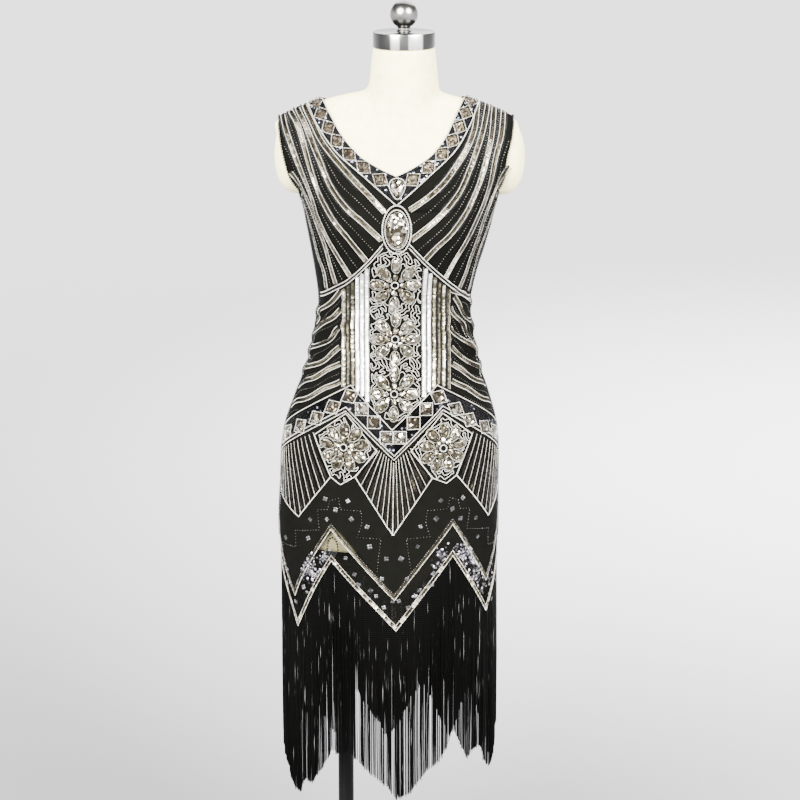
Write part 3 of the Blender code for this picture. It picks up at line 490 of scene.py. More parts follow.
def stoneFinish(name, dark, mid, bright, scale, roughness=0.09, metallic=1.0, **sockets):
    made, tree, shader = newFinish(name, mid, roughness, metallic, **sockets)
    place = objectPlace(tree)  # small facets, each with its own tilt and tone; where the tone reaches white it is a painted highlight
    cells = nodeIn(tree, "TexVoronoi", Vector=place, Scale=scale).outputs
    red = nodeIn(tree, "SeparateColor", Color=cells["Color"]).outputs["Red"]
    mixed = nodeIn(tree, "Mix", {0: 0.35, 2: red, 3: pointValue(tree, "tone")}, data_type="FLOAT")
    local = nodeIn(tree, "VectorMath", {0: place, 1: cells["Position"]}, operation="SUBTRACT")
    way = nodeIn(tree, "VectorMath", {0: cells["Color"], 1: (0.5, 0.5, 0.5)}, operation="SUBTRACT")
    tilt = nodeIn(tree, "VectorMath", {0: local.outputs[0], 1: way.outputs[0]}, operation="DOT_PRODUCT")
    colour = toned(tree, mixed.outputs[0], dark, mid, bright)
    setInputs(tree, shader, {"Base_Color": colour, "Normal": bumped(tree, tilt.outputs["Value"], 1.0, 1.0)})
    return made


def clothFinish(name, colour, roughness, threads, depth, sheer=False, **sockets):
    made, tree, shader = newFinish(name, colour, roughness, 0.0, **sockets)
    place = nodeIn(tree, "UVMap", uv_map="UVMap").outputs["UV"]
    weave = nodeIn(tree, "Group", node_tree=weaveGroup, Vector=place, Threads=threads).outputs
    dark, bright = (c * 0.72 for c in colour), (min(1, c * 1.35) for c in colour)
    tones = toned(tree, noiseIn(tree, place, 60.0, 4.0), dark, colour, bright)
    setInputs(tree, shader, {"Base_Color": tones, "Normal": bumped(tree, weave["Height"], 0.5, depth)})
    if sheer:  # open net where no lining lies behind it
        opened = ranged(tree, weave["Holes"], To_Min=0.50, To_Max=0.90)
        seen = nodeIn(tree, "Math", {0: pointValue(tree, "sheer"), 1: opened}, operation="MULTIPLY")
        solid = nodeIn(tree, "Math", {0: 1.0, 1: seen.outputs[0]}, operation="SUBTRACT")
        setInputs(tree, shader, {"Alpha": solid.outputs[0]})
    return made


def metalFinish(name, dark, light, roughness, stretch, scale, rim=0.0, metallic=1.0, **sockets):
    made, tree, shader = newFinish(name, light, roughness, metallic, **sockets)
    place = nodeIn(tree, "Mapping", Vector=objectPlace(tree), Scale=stretch).outputs["Vector"]
    noise = tone = noiseIn(tree, place, scale, 5.0)  # streaks along the way it was brushed; where dark and light lie far apart, as on the steels, they are painted reflections
    if rim:  # painted shade, darker towards the outline
        facing = nodeIn(tree, "LayerWeight", Blend=0.5).outputs["Facing"]
        shade = ranged(tree, facing, From_Min=0.15, From_Max=0.95, To_Min=1.0, To_Max=1.0 - rim)
        tone = nodeIn(tree, "Math", {0: noise, 1: shade}, operation="MULTIPLY").outputs[0]
    colour = toned(tree, tone, dark, ((a + b) / 2 for a, b in zip(dark, light)), light)
    rough = ranged(tree, noise, To_Min=roughness * 0.7, To_Max=roughness * 1.4)
    bump = bumped(tree, noise, 0.08, 0.0004)
    setInputs(tree, shader, {"Base_Color": colour, "Roughness": rough, "Normal": bump})
    return made


paintedReflectionBands = [  # share of the way across the cap, and lightness of the painted reflection
    (0.0, 0.10), (0.12, 0.045), (0.27, 0.075), (0.31, 0.95), (0.41, 0.95), (0.44, 0.13),
    (0.56, 0.13), (0.59, 1.0), (0.78, 0.95), (0.81, 0.07), (0.95, 0.05), (1.0, 0.12),
]


def capFinish(centre, radius, top):  # steel with painted reflections in upright bands, and a painted dark reflection on its top face
    made, tree, shader = newFinish("steel with painted reflection bands", (0.4, 0.4, 0.38), 0.28, 1.0)
    place = objectPlace(tree)
    parts = nodeIn(tree, "SeparateXYZ", Vector=place).outputs
    across = ranged(tree, parts["X"], From_Min=centre - radius, From_Max=centre + radius)
    ramp = nodeIn(tree, "ValToRGB", Fac=across)
    # upright bands of painted reflection, light and dark, across the cap
    for spot, _ in paintedReflectionBands[2:]:
        ramp.color_ramp.elements.new(spot)
    for element, (spot, value) in zip(ramp.color_ramp.elements, paintedReflectionBands):
        element.position, element.color = spot, (value, value * 0.985, value * 0.95, 1)
    noise = noiseIn(tree, place, 900.0, 3.0)
    # the top face is painted dark: a painted reflection
    paintedDarkTop = ranged(tree, parts["Z"], From_Min=top - 0.0006, From_Max=top - 0.0002)
    colour = toned(tree, noise, (0.02, 0.02, 0.02), (0.055, 0.055, 0.052), (0.12, 0.12, 0.11))
    mixed = nodeIn(tree, "Mix", {0: paintedDarkTop, 6: ramp.outputs["Color"], 7: colour}, data_type="RGBA")
    setInputs(tree, shader, {"Base_Color": mixed.outputs[2], "Normal": bumped(tree, noise, 0.08, 0.0003)})
    return made


def yarnFinish():  # painted glints as pale streaks down the yarns, with a dull shine
    made, tree, shader = newFinish("black yarn", (0.0009, 0.0008, 0.0007), 0.5, Specular_IOR_Level=0.03)
    place = objectPlace(tree)
    stretched = nodeIn(tree, "Mapping", Vector=place, Scale=(1.0, 1.0, 0.010)).outputs["Vector"]
    paintedGlint = ranged(tree, noiseIn(tree, stretched, 1500.0, 1.0), From_Min=0.655, From_Max=0.80)
    colour = toned(tree, paintedGlint, (0.0005, 0.0005, 0.0004), (0.003, 0.003, 0.0028), (0.30, 0.30, 0.29))
    wave = nodeIn(tree, "TexWave", Vector=place, Scale=90.0, bands_direction="Z").outputs["Fac"]
    setInputs(tree, shader, {"Base_Color": colour, "Normal": bumped(tree, wave, 0.4, 0.0004)})
    return made


finishes = {
    "net": clothFinish(
        "black net", (0.0026, 0.0026, 0.0020), 0.85, 700, 0.0003, sheer=True, Specular_IOR_Level=0.02),
    "lining": clothFinish(
        "black lining", (0.0012, 0.0011, 0.0010), 0.9, 1200, 0.0001, Specular_IOR_Level=0.02),
    "band": beadFinish(
        "black band sequins", (0.0004, 0.0004, 0.0005), (0.0010, 0.0010, 0.0014), (0.60, 0.65, 0.76),
        0.25, 0.9),
    "silver": beadFinish(
        "silver beads", (0.030, 0.026, 0.018), (0.48, 0.445, 0.35), (1.0, 0.975, 0.89), 0.25, 0.2),
    "dots": beadFinish(
        "small grey beads", (0.01, 0.01, 0.009), (0.05, 0.048, 0.042), (0.30, 0.29, 0.26), 0.3, 0.2),
    "jet": beadFinish(
        "jet beads", (0.0006, 0.0006, 0.0006), (0.0016, 0.0015, 0.0013), (0.012, 0.0118, 0.011), 0.20, 0.0,
        Specular_IOR_Level=0.45),
    "gold": beadFinish(
        "pale gold sequins", (0.010, 0.0084, 0.0046), (0.062, 0.053, 0.032), (0.95, 0.87, 0.64), 0.25, 0.8),
    "white": beadFinish(
        "silver sequins with a painted white highlight", (0.03, 0.028, 0.024), (0.42, 0.41, 0.38), (1.0, 1.0, 1.0), 0.20, 0.5),
    "glass": beadFinish(
        "clear sequins", (0.01, 0.01, 0.01), (0.07, 0.07, 0.07), (0.50, 0.50, 0.54), 0.20, 0.6),
    "shard": beadFinish(
        "lilac shards", (0.006, 0.006, 0.006), (0.040, 0.038, 0.043), (0.52, 0.50, 0.57), 0.20, 0.5),
    "smoke": beadFinish(
        "smoky sequins", (0.0018, 0.0015, 0.0010), (0.0042, 0.0035, 0.0025), (0.085, 0.073, 0.050),
        0.32, 0.9, Specular_IOR_Level=0.2),
    "stone": stoneFinish(
        "cut stones", (0.012, 0.009, 0.005), (0.105, 0.084, 0.052), (1.0, 0.96, 0.82), 250.0,
        Coat_Weight=0.3),
    "petal": stoneFinish(
        "pale cut stones", (0.006, 0.005, 0.003), (0.20, 0.172, 0.105), (1.0, 0.98, 0.88), 300.0,
        Coat_Weight=0.3),
    "foil": stoneFinish(
        "tan foiled stones", (0.008, 0.0055, 0.003), (0.036, 0.027, 0.0155), (0.26, 0.21, 0.135),
        450.0, 0.26, 0.6, Specular_IOR_Level=0.3),
    "ivory": clothFinish("ivory jersey", (1.0, 0.89, 0.47), 0.8, 1600, 0.00004, Specular_IOR_Level=0.2),
    "steel": metalFinish(
        "brushed steel with painted reflections", (0.02, 0.02, 0.02), (0.65, 0.64, 0.62), 0.16, (36.0, 36.0, 0.3), 1.0),
    "polished": metalFinish(
        "polished steel", (0.035, 0.034, 0.03), (0.62, 0.60, 0.56), 0.24, (1.0, 1.0, 1.0), 25.0, 0.95),
    "cap": capFinish(0.012, 0.0472, 1.4608),
    "black": metalFinish(
        "black powder coat", (0.0006, 0.0006, 0.0006), (0.002, 0.002, 0.002), 0.45, (1.0, 1.0, 1.0), 400.0,
        metallic=0.0, Specular_IOR_Level=0.1),
    "yarn": yarnFinish(),
}
print("finishes made", len(finishes))

# Making pieces


def addObject(name, data):
    made = bpy.data.objects.new(name, data)
    bpy.context.scene.collection.objects.link(made)
    return made


def takeMesh(holder):  # the finished mesh of a holder, which goes
    mesh = bpy.data.meshes.new_from_object(holder.evaluated_get(bpy.context.evaluated_depsgraph_get()))
    bpy.data.objects.remove(holder)
    return mesh


def newPiece(name, mesh, finish, slot, *nodes):
    piece = addObject(name, mesh)
    mesh.materials.clear()
    mesh.materials.append(finishes[finish])
    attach(piece, "root")
    if nodes:
        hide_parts(*nodes)
    return piece


def layGrid(built, columns, rows, place):  # a grid, laid where place puts each of its corners
    corners = bmesh.ops.create_grid(built, x_segments=columns, y_segments=rows, size=0.5)["verts"]
    flat = np.array([corner.co[:2] for corner in corners]) + 0.5
    for corner, point in zip(corners, place(*flat.T)):
        corner.co = point


def layUv(mesh):  # cloth coordinates in metres: round the girth and up
    layer = mesh.uv_layers.get("UVMap") or mesh.uv_layers.new(name="UVMap")
    points = np.zeros(len(mesh.vertices) * 3)
    mesh.vertices.foreach_get("co", points)
    points = points.reshape(-1, 3)
    across = np.arctan2(points[:, 0] - middle(points[:, 2]), abs(points[:, 1]) + 0.05) * 0.13
    corners = np.zeros(len(mesh.loops), int)
    mesh.loops.foreach_get("vertex_index", corners)
    layer.data.foreach_set("uv", np.stack([across, points[:, 2]], 1)[corners].ravel())


def finishMesh(name, built, turned=False, flat=False):
    bmesh.ops.remove_doubles(built, verts=built.verts, dist=0.00002)
    if turned:
        bmesh.ops.reverse_faces(built, faces=built.faces)
    mesh = bpy.data.meshes.new(name)
    built.to_mesh(mesh)
    built.free()
    if not flat:
        mesh.shade_smooth()
    return mesh


def clothPiece(name, built, side, wall, *rest):  # faces outward, with a wall behind
    bmesh.ops.recalc_face_normals(built, faces=built.faces)
    outward = sum(face.normal.y for face in built.faces) * side
    piece = newPiece(name, finishMesh(name, built, turned=outward < 0), *rest)
    modifier = piece.modifiers.new("wall", "SOLIDIFY")
    modifier.thickness, modifier.offset, modifier.use_rim = wall, -1.0, True
    return piece


# The sheath

sides = (("Front", front), ("Back", back))
sheath = {"wall": 0.0012, "skirtTop": 0.760, "hemGirth": 0.590, "rows": 84, "perTurn": {front: 12, back: 7}}
hemTurns = {  # length round the girth from the centre, and height
    front: [(-1.0, 0.6550), (-0.1650, 0.5290), (-0.0890, 0.6510), (0.0065, 0.5385), (0.1006, 0.6580),
            (0.1640, 0.5550), (1.0, 0.6620)],
    back: [(-1.0, 0.6550), (-0.1880, 0.5450), (-0.1320, 0.6480), (-0.0980, 0.5600), (-0.0650, 0.6500),
           (-0.0060, 0.5480), (0.0550, 0.6500), (0.0980, 0.5550), (0.1340, 0.6520), (0.1880, 0.5500),
           (1.0, 0.6620)],
}
liningTurns = {
    front: [(-1.0, 0.658), (-0.165, 0.580), (-0.126, 0.656), (-0.086, 0.704), (-0.080, 0.704),
            (-0.038, 0.656), (0.0065, 0.585), (0.100, 0.658), (0.164, 0.588), (1.0, 0.660)],
    back: [(-1.0, 0.658), (-0.110, 0.654), (0.110, 0.656), (1.0, 0.660)],
}


def hemShares(side, turns):  # shares of the way to the side seam, and heights
    quarter = halfGirth(side, sheath["hemGirth"])
    return np.array([(max(-1, min(1, arc / quarter)), height) for arc, height in turns])


def hemLine(side, rise):  # the hem's zigzag as spots, that much higher
    rows = dense(hemShares(side, hemTurns[side]))
    z = rows[:, 1] + rise
    return fromGirth(side, rows[:, 0] * halfGirth(side, z), z)


def skirtPlace(side):  # the grid from the zigzag hem to the armpits
    rows = hemShares(side, hemTurns[side])

    def place(u, v):
        share, hem = between(rows, u * (len(rows) - 1)).T
        z = hem + (figure["armpit"] - hem) * v
        up = np.clip((z - hem) / (sheath["skirtTop"] - hem), 0, 1)
        share = share * (1 - up) + (2 * u - 1) * up
        return onCloth(side, fromGirth(side, share * halfGirth(side, z), z))[0]

    return place


def yokePlace(side, hand):  # from the armpit's level up to the shoulder ridge, one side of the neckline
    low = figure["neckLow"][side]

    def place(u, v):
        climb = 1 - (1 - v) ** 1.5
        start = figure["neckShift"] * np.minimum(1, climb / low)
        start = start + hand * neckInner((climb - low) / (1 - low))
        end = armholeEdge(hand, climb)
        level = np.full_like(u, figure["armpit"])
        angle = fromGirth(side, u * halfGirth(side, level), level)[:, 0]
        x = start + (end - start) * np.sin(np.radians(angle)) ** (2 / roundness)
        z = figure["armpit"] + (ridge(x) - figure["armpit"]) * climb
        return onCloth(side, fromFront(x, z))[0]

    return place


def liningPlace(side):
    rows = hemShares(side, liningTurns[side])

    def place(u, v):
        share, hem = between(rows, u * (len(rows) - 1)).T
        z = hem + (0.780 - hem) * v
        return onCloth(side, fromGirth(side, share * halfGirth(side, z) * 0.999, z), -0.0040)[0]

    return place


for word, side in sides:
    built = bmesh.new()
    columns = (len(hemTurns[side]) - 1) * sheath["perTurn"][side]
    layGrid(built, columns, sheath["rows"], skirtPlace(side))
    for hand in (-1, 1):
        layGrid(built, columns // 2, 36, yokePlace(side, hand))
    bmesh.ops.remove_doubles(built, verts=built.verts, dist=0.0001)
    sheath[side] = clothPiece(
        "sheath" + word, built, side, sheath["wall"], "net", "net", word.lower() + "_panel")
    mesh = sheath[side].data
    layUv(mesh)
    points = np.array([v.co for v in mesh.vertices])
    liningHem = readOff(hemShares(side, liningTurns[side]), girthShare(side, fromPoint(points)))
    opened = np.clip((liningHem - points[:, 2]) / 0.006 + 0.5, 0, 1)
    opened *= np.interp(points[:, 2], [0.653, 0.659], [0.4, 1.0])
    mesh.attributes.new("sheer", "FLOAT", "POINT").data.foreach_set("value", opened.astype(np.float32))
    area = sum(face.area for face in mesh.polygons)
    print("sheath", word, len(mesh.polygons), "faces", round(area, 3), "square metres")

    built = bmesh.new()
    layGrid(built, (len(liningTurns[side]) - 1) * 10, 10, liningPlace(side))
    lining = clothPiece("lining" + word, built, side, 0.0008, "lining", "lining", "lining_" + word.lower())
    layUv(lining.data)
    sheath["lining" + word.lower()] = lining
print("sheath and lining made")

# Neck band, and the beaded stripes of the bodice

neck = {
    "stones": 6, "spacing": 1.15, "lift": 0.0016, "rise": 0.0034,
    "halfLong": 0.0142, "halfWide": 0.0116, "rim": 0.0010,
}


def neckSpots(side, hand, across, share):  # across is 0 at the neckline and 1 at the band's outer edge
    low = figure["neckLow"][side] * (1 - across) + figure["bandLow"][side] * across
    climb = low + (1 - low) * share
    x = figure["neckShift"] + hand * (neckInner(share) * (1 - across) + neckOuter(share) * across)
    return fromFront(x, figure["armpit"] + (ridge(x) - figure["armpit"]) * climb)


for word, side in sides:
    built = bmesh.new()
    for hand in (-1, 1):

        def bandPlace(u, v, side=side, hand=hand):
            spots = neckSpots(side, hand, u, 1 - (1 - v) ** 1.3)
            return onCloth(side, spots, 0.0006 + 0.0008 * np.sin(np.pi * u))[0]

        layGrid(built, 8, 60, bandPlace)
    bmesh.ops.remove_doubles(built, verts=built.verts, dist=0.0001)
    clothPiece("neckBand" + word, built, side, 0.0006, "lining", "stones", "neck_trim_" + word.lower())
    ropes, stones = "ropesNeck" + word, "stonesNeck" + word
    for hand in (-1, 1):
        share = np.linspace(0, 0.998, 90)
        for across, lift, size in ((0.02, 0.0008, 0.6), (1.03, 0.0010, 1.05)):
            sewRope(ropes, side, neckSpots(side, hand, across, share), lift, size)
        last = 2 * neck["stones"] + 2
        for k in range(2, last + 1, 2):
            at = min(0.965, (k / last) ** neck["spacing"])
            ahead, behind, near = neckSpots(side, hand, 0.5, at + np.array([0.02, -0.02, 0.0]))[:, None]
            along = unit(onCloth(side, ahead, neck["lift"])[0] - onCloth(side, behind, neck["lift"])[0])
            point, outward = onCloth(side, near, neck["lift"])
            # the right-hand stones are toned brighter: a painted highlight on the side the light falls on
            tone = 0.35 + 0.35 * (hand > 0) + chance.uniform(-0.2, 0.2)
            halves = neck["halfLong"], neck["halfWide"]
            size = [(half - neck["rim"]) * 1.08 for half in halves]
            sewOn(stones, point, outward, along, (*size, neck["rise"]), tone)
            ring = frameRound(side, near[0], along[0], *halves, "diamond", neck["lift"])
            sewRope(ropes, side, ring, 0.0014, 0.72, (0.35, 0.9))
        for across in np.arange(0.10, 0.95, 0.13):  # dark sequins fill the corners beside the stones
            row = neckSpots(side, hand, across, share)
            sewSequins("bandSequinsDark", side, row, 0.0034, 0.0012, (0.0, 0.9), 0.9, 0.1, 3.0)

stripes = {  # keys in millimetres from the middle, and height: from the shoulder or armhole to the centre
    "left": [
        [(-139, 1349), (-125, 1324), (-115, 1304), (-102, 1287), (-87, 1270), (-66, 1248), (-45, 1228),
         (-22, 1205)],
        [(-150, 1345), (-137, 1323), (-126, 1294), (-118, 1274), (-107, 1246), (-96, 1228), (-77, 1207),
         (-55, 1190), (-26, 1164)],
        [(-160, 1340), (-149, 1323), (-140, 1291), (-131, 1255), (-122, 1228), (-110, 1206), (-96, 1186),
         (-76, 1165), (-47, 1131)],
        [(-173, 1334), (-164, 1305), (-153, 1272), (-142, 1242), (-132, 1215), (-123, 1189), (-109, 1162),
         (-94, 1139), (-70, 1104)],
        [(-164, 1254), (-154, 1240), (-145, 1223), (-135, 1203), (-123, 1175), (-111, 1147), (-102, 1119),
         (-91, 1088)],
        [(-152, 1220), (-145, 1204), (-138, 1184), (-129, 1155), (-121, 1128), (-110, 1102), (-105, 1076)],
    ],
    "right": [
        [(124, 1355), (118, 1322), (105, 1295), (87, 1270), (67, 1246), (46, 1228), (16, 1208)],
        [(139, 1349), (131, 1321), (118, 1289), (106, 1262), (92, 1234), (75, 1212), (52, 1190),
         (19, 1164)],
        [(149, 1345), (144, 1316), (134, 1281), (124, 1250), (113, 1224), (100, 1199), (79, 1172),
         (58, 1152), (40, 1131)],
        [(163, 1339), (158, 1313), (147, 1280), (138, 1242), (130, 1215), (117, 1185), (102, 1155),
         (87, 1128), (75, 1101)],
        [(166, 1264), (153, 1243), (142, 1218), (131, 1190), (121, 1158), (112, 1129), (106, 1103),
         (98, 1080)],
        [(152, 1222), (147, 1203), (140, 1182), (132, 1159), (123, 1130), (118, 1094), (113, 1069)],
    ],
    "bottomLeft": [(-23, 1158), (-47, 1127), (-73, 1098), (-94, 1082), (-114, 1065)],
    "bottomRight": [(16, 1158), (43, 1130), (73, 1101), (96, 1079), (116, 1058)],
}


def toShoulder(keys):  # carries a stripe on up to the shoulder seam
    (x, z), (nextX, nextZ) = keys[:2]
    rise = float(ridge(x / 1000)) * 1000 - 0.1 - z
    if z < 1330 or rise < 0.2:
        return keys
    return [(x + (x - nextX) / (z - nextZ) * rise, z + rise)] + keys


for (ending, side), (hand, word) in itertools.product(
    (("Bodice", front), ("Back", back)), ((-1, "left"), (1, "right"))
):
    ropes = "ropes" + ending
    lines = [frontLine(toShoulder(keys)) for keys in stripes[word]]
    for spots in lines:
        # the right-hand stripes are toned a little brighter: a painted highlight on the side the light
        # falls on
        sequinStripe(ropes, "gold" + ending, side, spots, 0.0055, (0.2, 1.0) if hand > 0 else (0.15, 0.95))
        point, outward = onCloth(side, spots[: len(spots) * 3 // 4])
        over = unit(np.cross(outward, np.gradient(point, axis=0))) * 0.0060
        for cord in beside(point, over):
            sewJets(side, cord, 0.0027, 0.0013)
    for pair in zip(lines, lines[1:]):
        share = np.linspace(0, 1, 60)
        first, second = (between(line, share, np.linspace(0, 1, len(line))) for line in pair)
        sewDots("dots" + ending, side, (first + second) / 2)
    bottom = stripes["bottom" + word.capitalize()]
    if side == back:  # the two halves meet at the centre
        bottom = [(hand * 0.5, 1184)] + bottom
    for drop in (0.0, -6.5):
        sewRope(ropes, side, frontLine(shifted(bottom, drop)), 0.0, 0.85)
    for drop in (-2.2, -4.3):
        sewJets(side, frontLine(shifted(bottom, drop)), 0.0030, 0.0013)
print("bodice laid")

# Centre panel, stripe blocks and waist stripes

panelEdge = {  # height, length round the girth
    -1: [(0.90, -0.0345), (0.9887, -0.0365), (1.0675, -0.0390), (1.119, -0.0417), (1.140, -0.0417)],
    1: [(0.90, 0.0455), (0.9887, 0.0434), (1.0675, 0.0403), (1.119, 0.0400), (1.140, 0.0400)],
}
blockEdge = {
    -1: [(0.919, -0.0785), (1.0008, -0.0813), (1.083, -0.0851)],
    1: [(0.9178, 0.0908), (0.9995, 0.0915), (1.079, 0.0876)],
}
# These lines, and most below, are keys of length round the girth and height
hipUpper = [(-0.2186, 0.8440), (-0.0643, 0.9326), (0.0014, 0.8639), (0.0690, 0.9322), (0.2230, 0.8465)]
hipLower = [(-0.2230, 0.8010), (-0.0711, 0.8917), (0.0063, 0.8165), (0.0788, 0.8930), (0.2280, 0.8020)]
bottomGirth = {
    -1: [(0.0236, 1.1579), (0.0477, 1.1263), (0.0751, 1.0978), (0.1022, 1.0824), (0.1444, 1.0636)],
    1: [(0.0166, 1.1578), (0.0436, 1.1293), (0.0751, 1.1007), (0.1056, 1.0789), (0.1755, 1.0493)],
}
dotsOn = {front: "dotsBodice", back: "dotsBack"}
blocks = {
    "columns": 6, "gold": {-1: 3, 1: 4},  # the gold columns stand outside, the white ones by the panel, painted white as a highlight
    "bright": {-1: [(0.45, 1.0), (0.0, 0.5), (0.1, 1.0)],
               1: [(0.0, 0.55), (0.45, 1.0), (0.0, 0.6), (0.4, 1.0)]},
}
for (ending, side), hand, column in itertools.product(
    (("Waist", front), ("Back", back)), (-1, 1), range(blocks["columns"])
):
    z = np.linspace(1.13, 0.88, 120)
    white = column >= blocks["gold"][hand]
    for half in (0.0, 0.5, 1.0):
        share = (column + half) / blocks["columns"]
        arc = readOff(blockEdge[hand], z) * (1 - share) + readOff(panelEdge[hand], z) * share
        top = readOff(bottomGirth[hand], abs(arc)) - 0.011
        keep = (z < top) & (z > readOff(hipUpper, arc) + 0.003)
        spots = fromGirth(side, arc[keep], z[keep])
        # the columns by the panel are sewn with white sequins: a painted highlight
        if half == 0.5 and white:
            sewSequins("whiteBlocks", side, spots, 0.0060, bright=(0.55, 1.0), glareWeight=0.5)
        elif half == 0.5:
            bright = blocks["bright"][hand][column]
            sewSequins("gold" + ending, side, spots, 0.0056, bright=bright, glareWeight=0.4, curve=1.4)
        elif half == 1.0 and white:
            sewDots(dotsOn[side], side, spots, 0.0030, 0.0008, 0.0006, (0.6, 1.0))
        elif half == 1.0:
            sewJets(side, spots, 0.0026, 0.0010, 0.0004)
        elif column == 0:
            sewRope("ropes" + ending, side, spots, 0.0, 0.6, (0.2, 0.9))

waist = {  # rows: height at the block, slope, distance from the block
    -1: [(1.0776, 1.30, 0), (1.0475, 0.85, 0), (1.0195, 1.00, 0), (0.9895, 0.88, 0), (0.9640, 0.62, 0),
         (0.9365, 0.62, 0)],
    1: [(1.0790, 0.42, 0), (1.0790, 1.80, 0.007), (1.0500, 1.65, 0), (1.0185, 1.15, 0), (0.9885, 1.04, 0),
        (0.9625, 0.76, 0), (0.9365, 0.68, 0)],
    "slope": 0.45, "fade": 0.03, "reach": 0.235, "wobble": 0.0022, "dotsBelow": 0.0145,
}
for (word, side), hand in itertools.product((("Waist", front), ("Back", back)), (-1, 1)):
    for start, slope, apart in waist[hand]:
        inner = abs(readOff(blockEdge[hand], start)) + 0.003
        arc = np.linspace(inner + apart, waist["reach"], 60)
        far = arc - inner
        bend = waist["fade"] * (1 - np.exp(-far / waist["fade"]))
        z = start - waist["slope"] * far - (slope - waist["slope"]) * bend
        z += waist["wobble"] * np.sin(80 * far + 40 * start) * np.clip(far / 0.03, 0, 1)
        for drop in (0, waist["dotsBelow"]):
            low = z - drop
            keep = (arc < halfGirth(side, low) - 0.002) & (low > readOff(hipUpper, hand * arc) + 0.004)
            spots = fromGirth(side, hand * arc[keep], low[keep])
            if not drop:
                sequinStripe("ropes" + word, "gold" + word, side, spots, 0.0052, (0.0, 0.6))
            elif keep.sum() > 3:
                sewDots(dotsOn[side], side, spots, 0.0044, 0.0007, 0.0, (0.2, 0.7))


def insideOf(outline, x, z):  # whether points lie inside a closed outline
    inside = np.zeros(len(x), bool)
    for (xa, za), (xb, zb) in zip(outline, outline[1:] + outline[:1]):
        inside ^= ((za > z) != (zb > z)) & (x < (xb - xa) * (z - za) / (zb - za + 1e-12) + xa)
    return inside


def turnedGrid(points, origin, angle=0.5):  # to places, turned and bent so that no row runs straight
    c, s = math.cos(angle), math.sin(angle)
    points = points @ np.array([[c, s], [-s, c]]) + origin
    x, z = points[..., 0], points[..., 1]
    bentX = np.sin(520 * z + 190 * x) + np.sin(270 * x - 340 * z)
    bentZ = np.sin(480 * x - 210 * z + 2) + np.sin(310 * z + 1)
    return points + 0.0008 * np.stack([bentX, bentZ], -1)


def growTree(first, unseen):  # a random tree of neighbouring cells, and the cells in it
    tree, stack, group = set(), [first], [first]
    while stack:
        i, j = stack[random.randrange(max(0, len(stack) - 3), len(stack))]
        options = [c for c in ((i + 1, j), (i - 1, j), (i, j + 1), (i, j - 1)) if c in unseen]
        if not options:
            stack.remove((i, j))
            continue
        chosen = random.choice(options)
        unseen.discard(chosen)
        tree.add(frozenset(((i, j), chosen)))
        stack.append(chosen)
        group.append(chosen)
    return tree, group


def walkRound(tree, group):  # the line that goes once round the tree, four points to a cell
    edges = {}

    def link(a, b):
        edges.setdefault(a, set()).add(b)
        edges.setdefault(b, set()).add(a)

    for i, j in group:
        x, z = 2 * i, 2 * j
        for stepX, stepZ, near in (
            (0, -1, ((x, z), (x + 1, z))), (1, 0, ((x + 1, z), (x + 1, z + 1))),
            (0, 1, ((x, z + 1), (x + 1, z + 1))), (-1, 0, ((x, z), (x, z + 1))),
        ):
            if frozenset(((i, j), (i + stepX, j + stepZ))) in tree:
                for px, pz in near:
                    link((px, pz), (px + stepX, pz + stepZ))
            else:
                link(*near)
    start = min(edges)
    loop, before, here = [start], None, start
    while True:
        ahead = next(p for p in sorted(edges[here]) if p != before)
        if ahead == start:
            return loop
        loop.append(ahead)
        before, here = here, ahead


def wormPath(outline, holes, pitch):  # lines that wind through the whole field and never cross themselves
    cell, ends = 2 * pitch, np.array([np.min(outline, 0), np.max(outline, 0)])
    origin = ends.sum(0) / 2
    reach = int(math.hypot(*(ends[1] - ends[0])) / 2 / cell) + 1
    cells = set()
    for i, j in itertools.product(range(-reach, reach + 1), repeat=2):
        cx, cz = turnedGrid(np.array([(i + 0.5) * cell, (j + 0.5) * cell]), origin)
        ways = (-pitch * 0.55, pitch * 0.55)
        corners = np.array([(cx + a, cz + b) for a in ways for b in ways])
        clear = all(math.hypot((cx - hx) / half, (cz - hz) / half) > 1 for hx, hz, half in holes)
        if clear and insideOf(outline, *corners.T).all():
            cells.add((i, j))
    loops = []
    while cells:
        first = min(cells)
        cells.discard(first)
        points = np.array(walkRound(*growTree(first, cells)), float)
        points += chance.uniform(-0.36, 0.36, points.shape)
        loops.append(rounded(turnedGrid((points + 0.5) * pitch, origin)))
    return loops


def sewWorms(piece, side, outline, holes):
    for loop in wormPath(outline, holes, 0.0039):
        spots = fromGirth(side, *np.vstack([loop, loop[:1]]).T)
        sewRope(piece, side, spots, 0.0, 0.5, (0.85, 1.0))


flowers = {  # length round the girth, height, petals
    "upper": (-0.0010, 1.0925, 8), "middle": (0.0025, 1.0065, 8), "lower": (0.0025, 0.9205, 8),
    "left": (-0.0720, 0.8350, 9), "right": (0.0820, 0.8330, 9),
}
flower = {
    "reach": 0.0268, "halfLong": 0.0116, "halfWide": 0.0077, "rise": 0.0042, "lift": 0.0012,
    "small": (0.0056, 0.0046, 0.0030), "smallReach": 0.0125, "button": 0.0052, "clear": 0.0305,
}


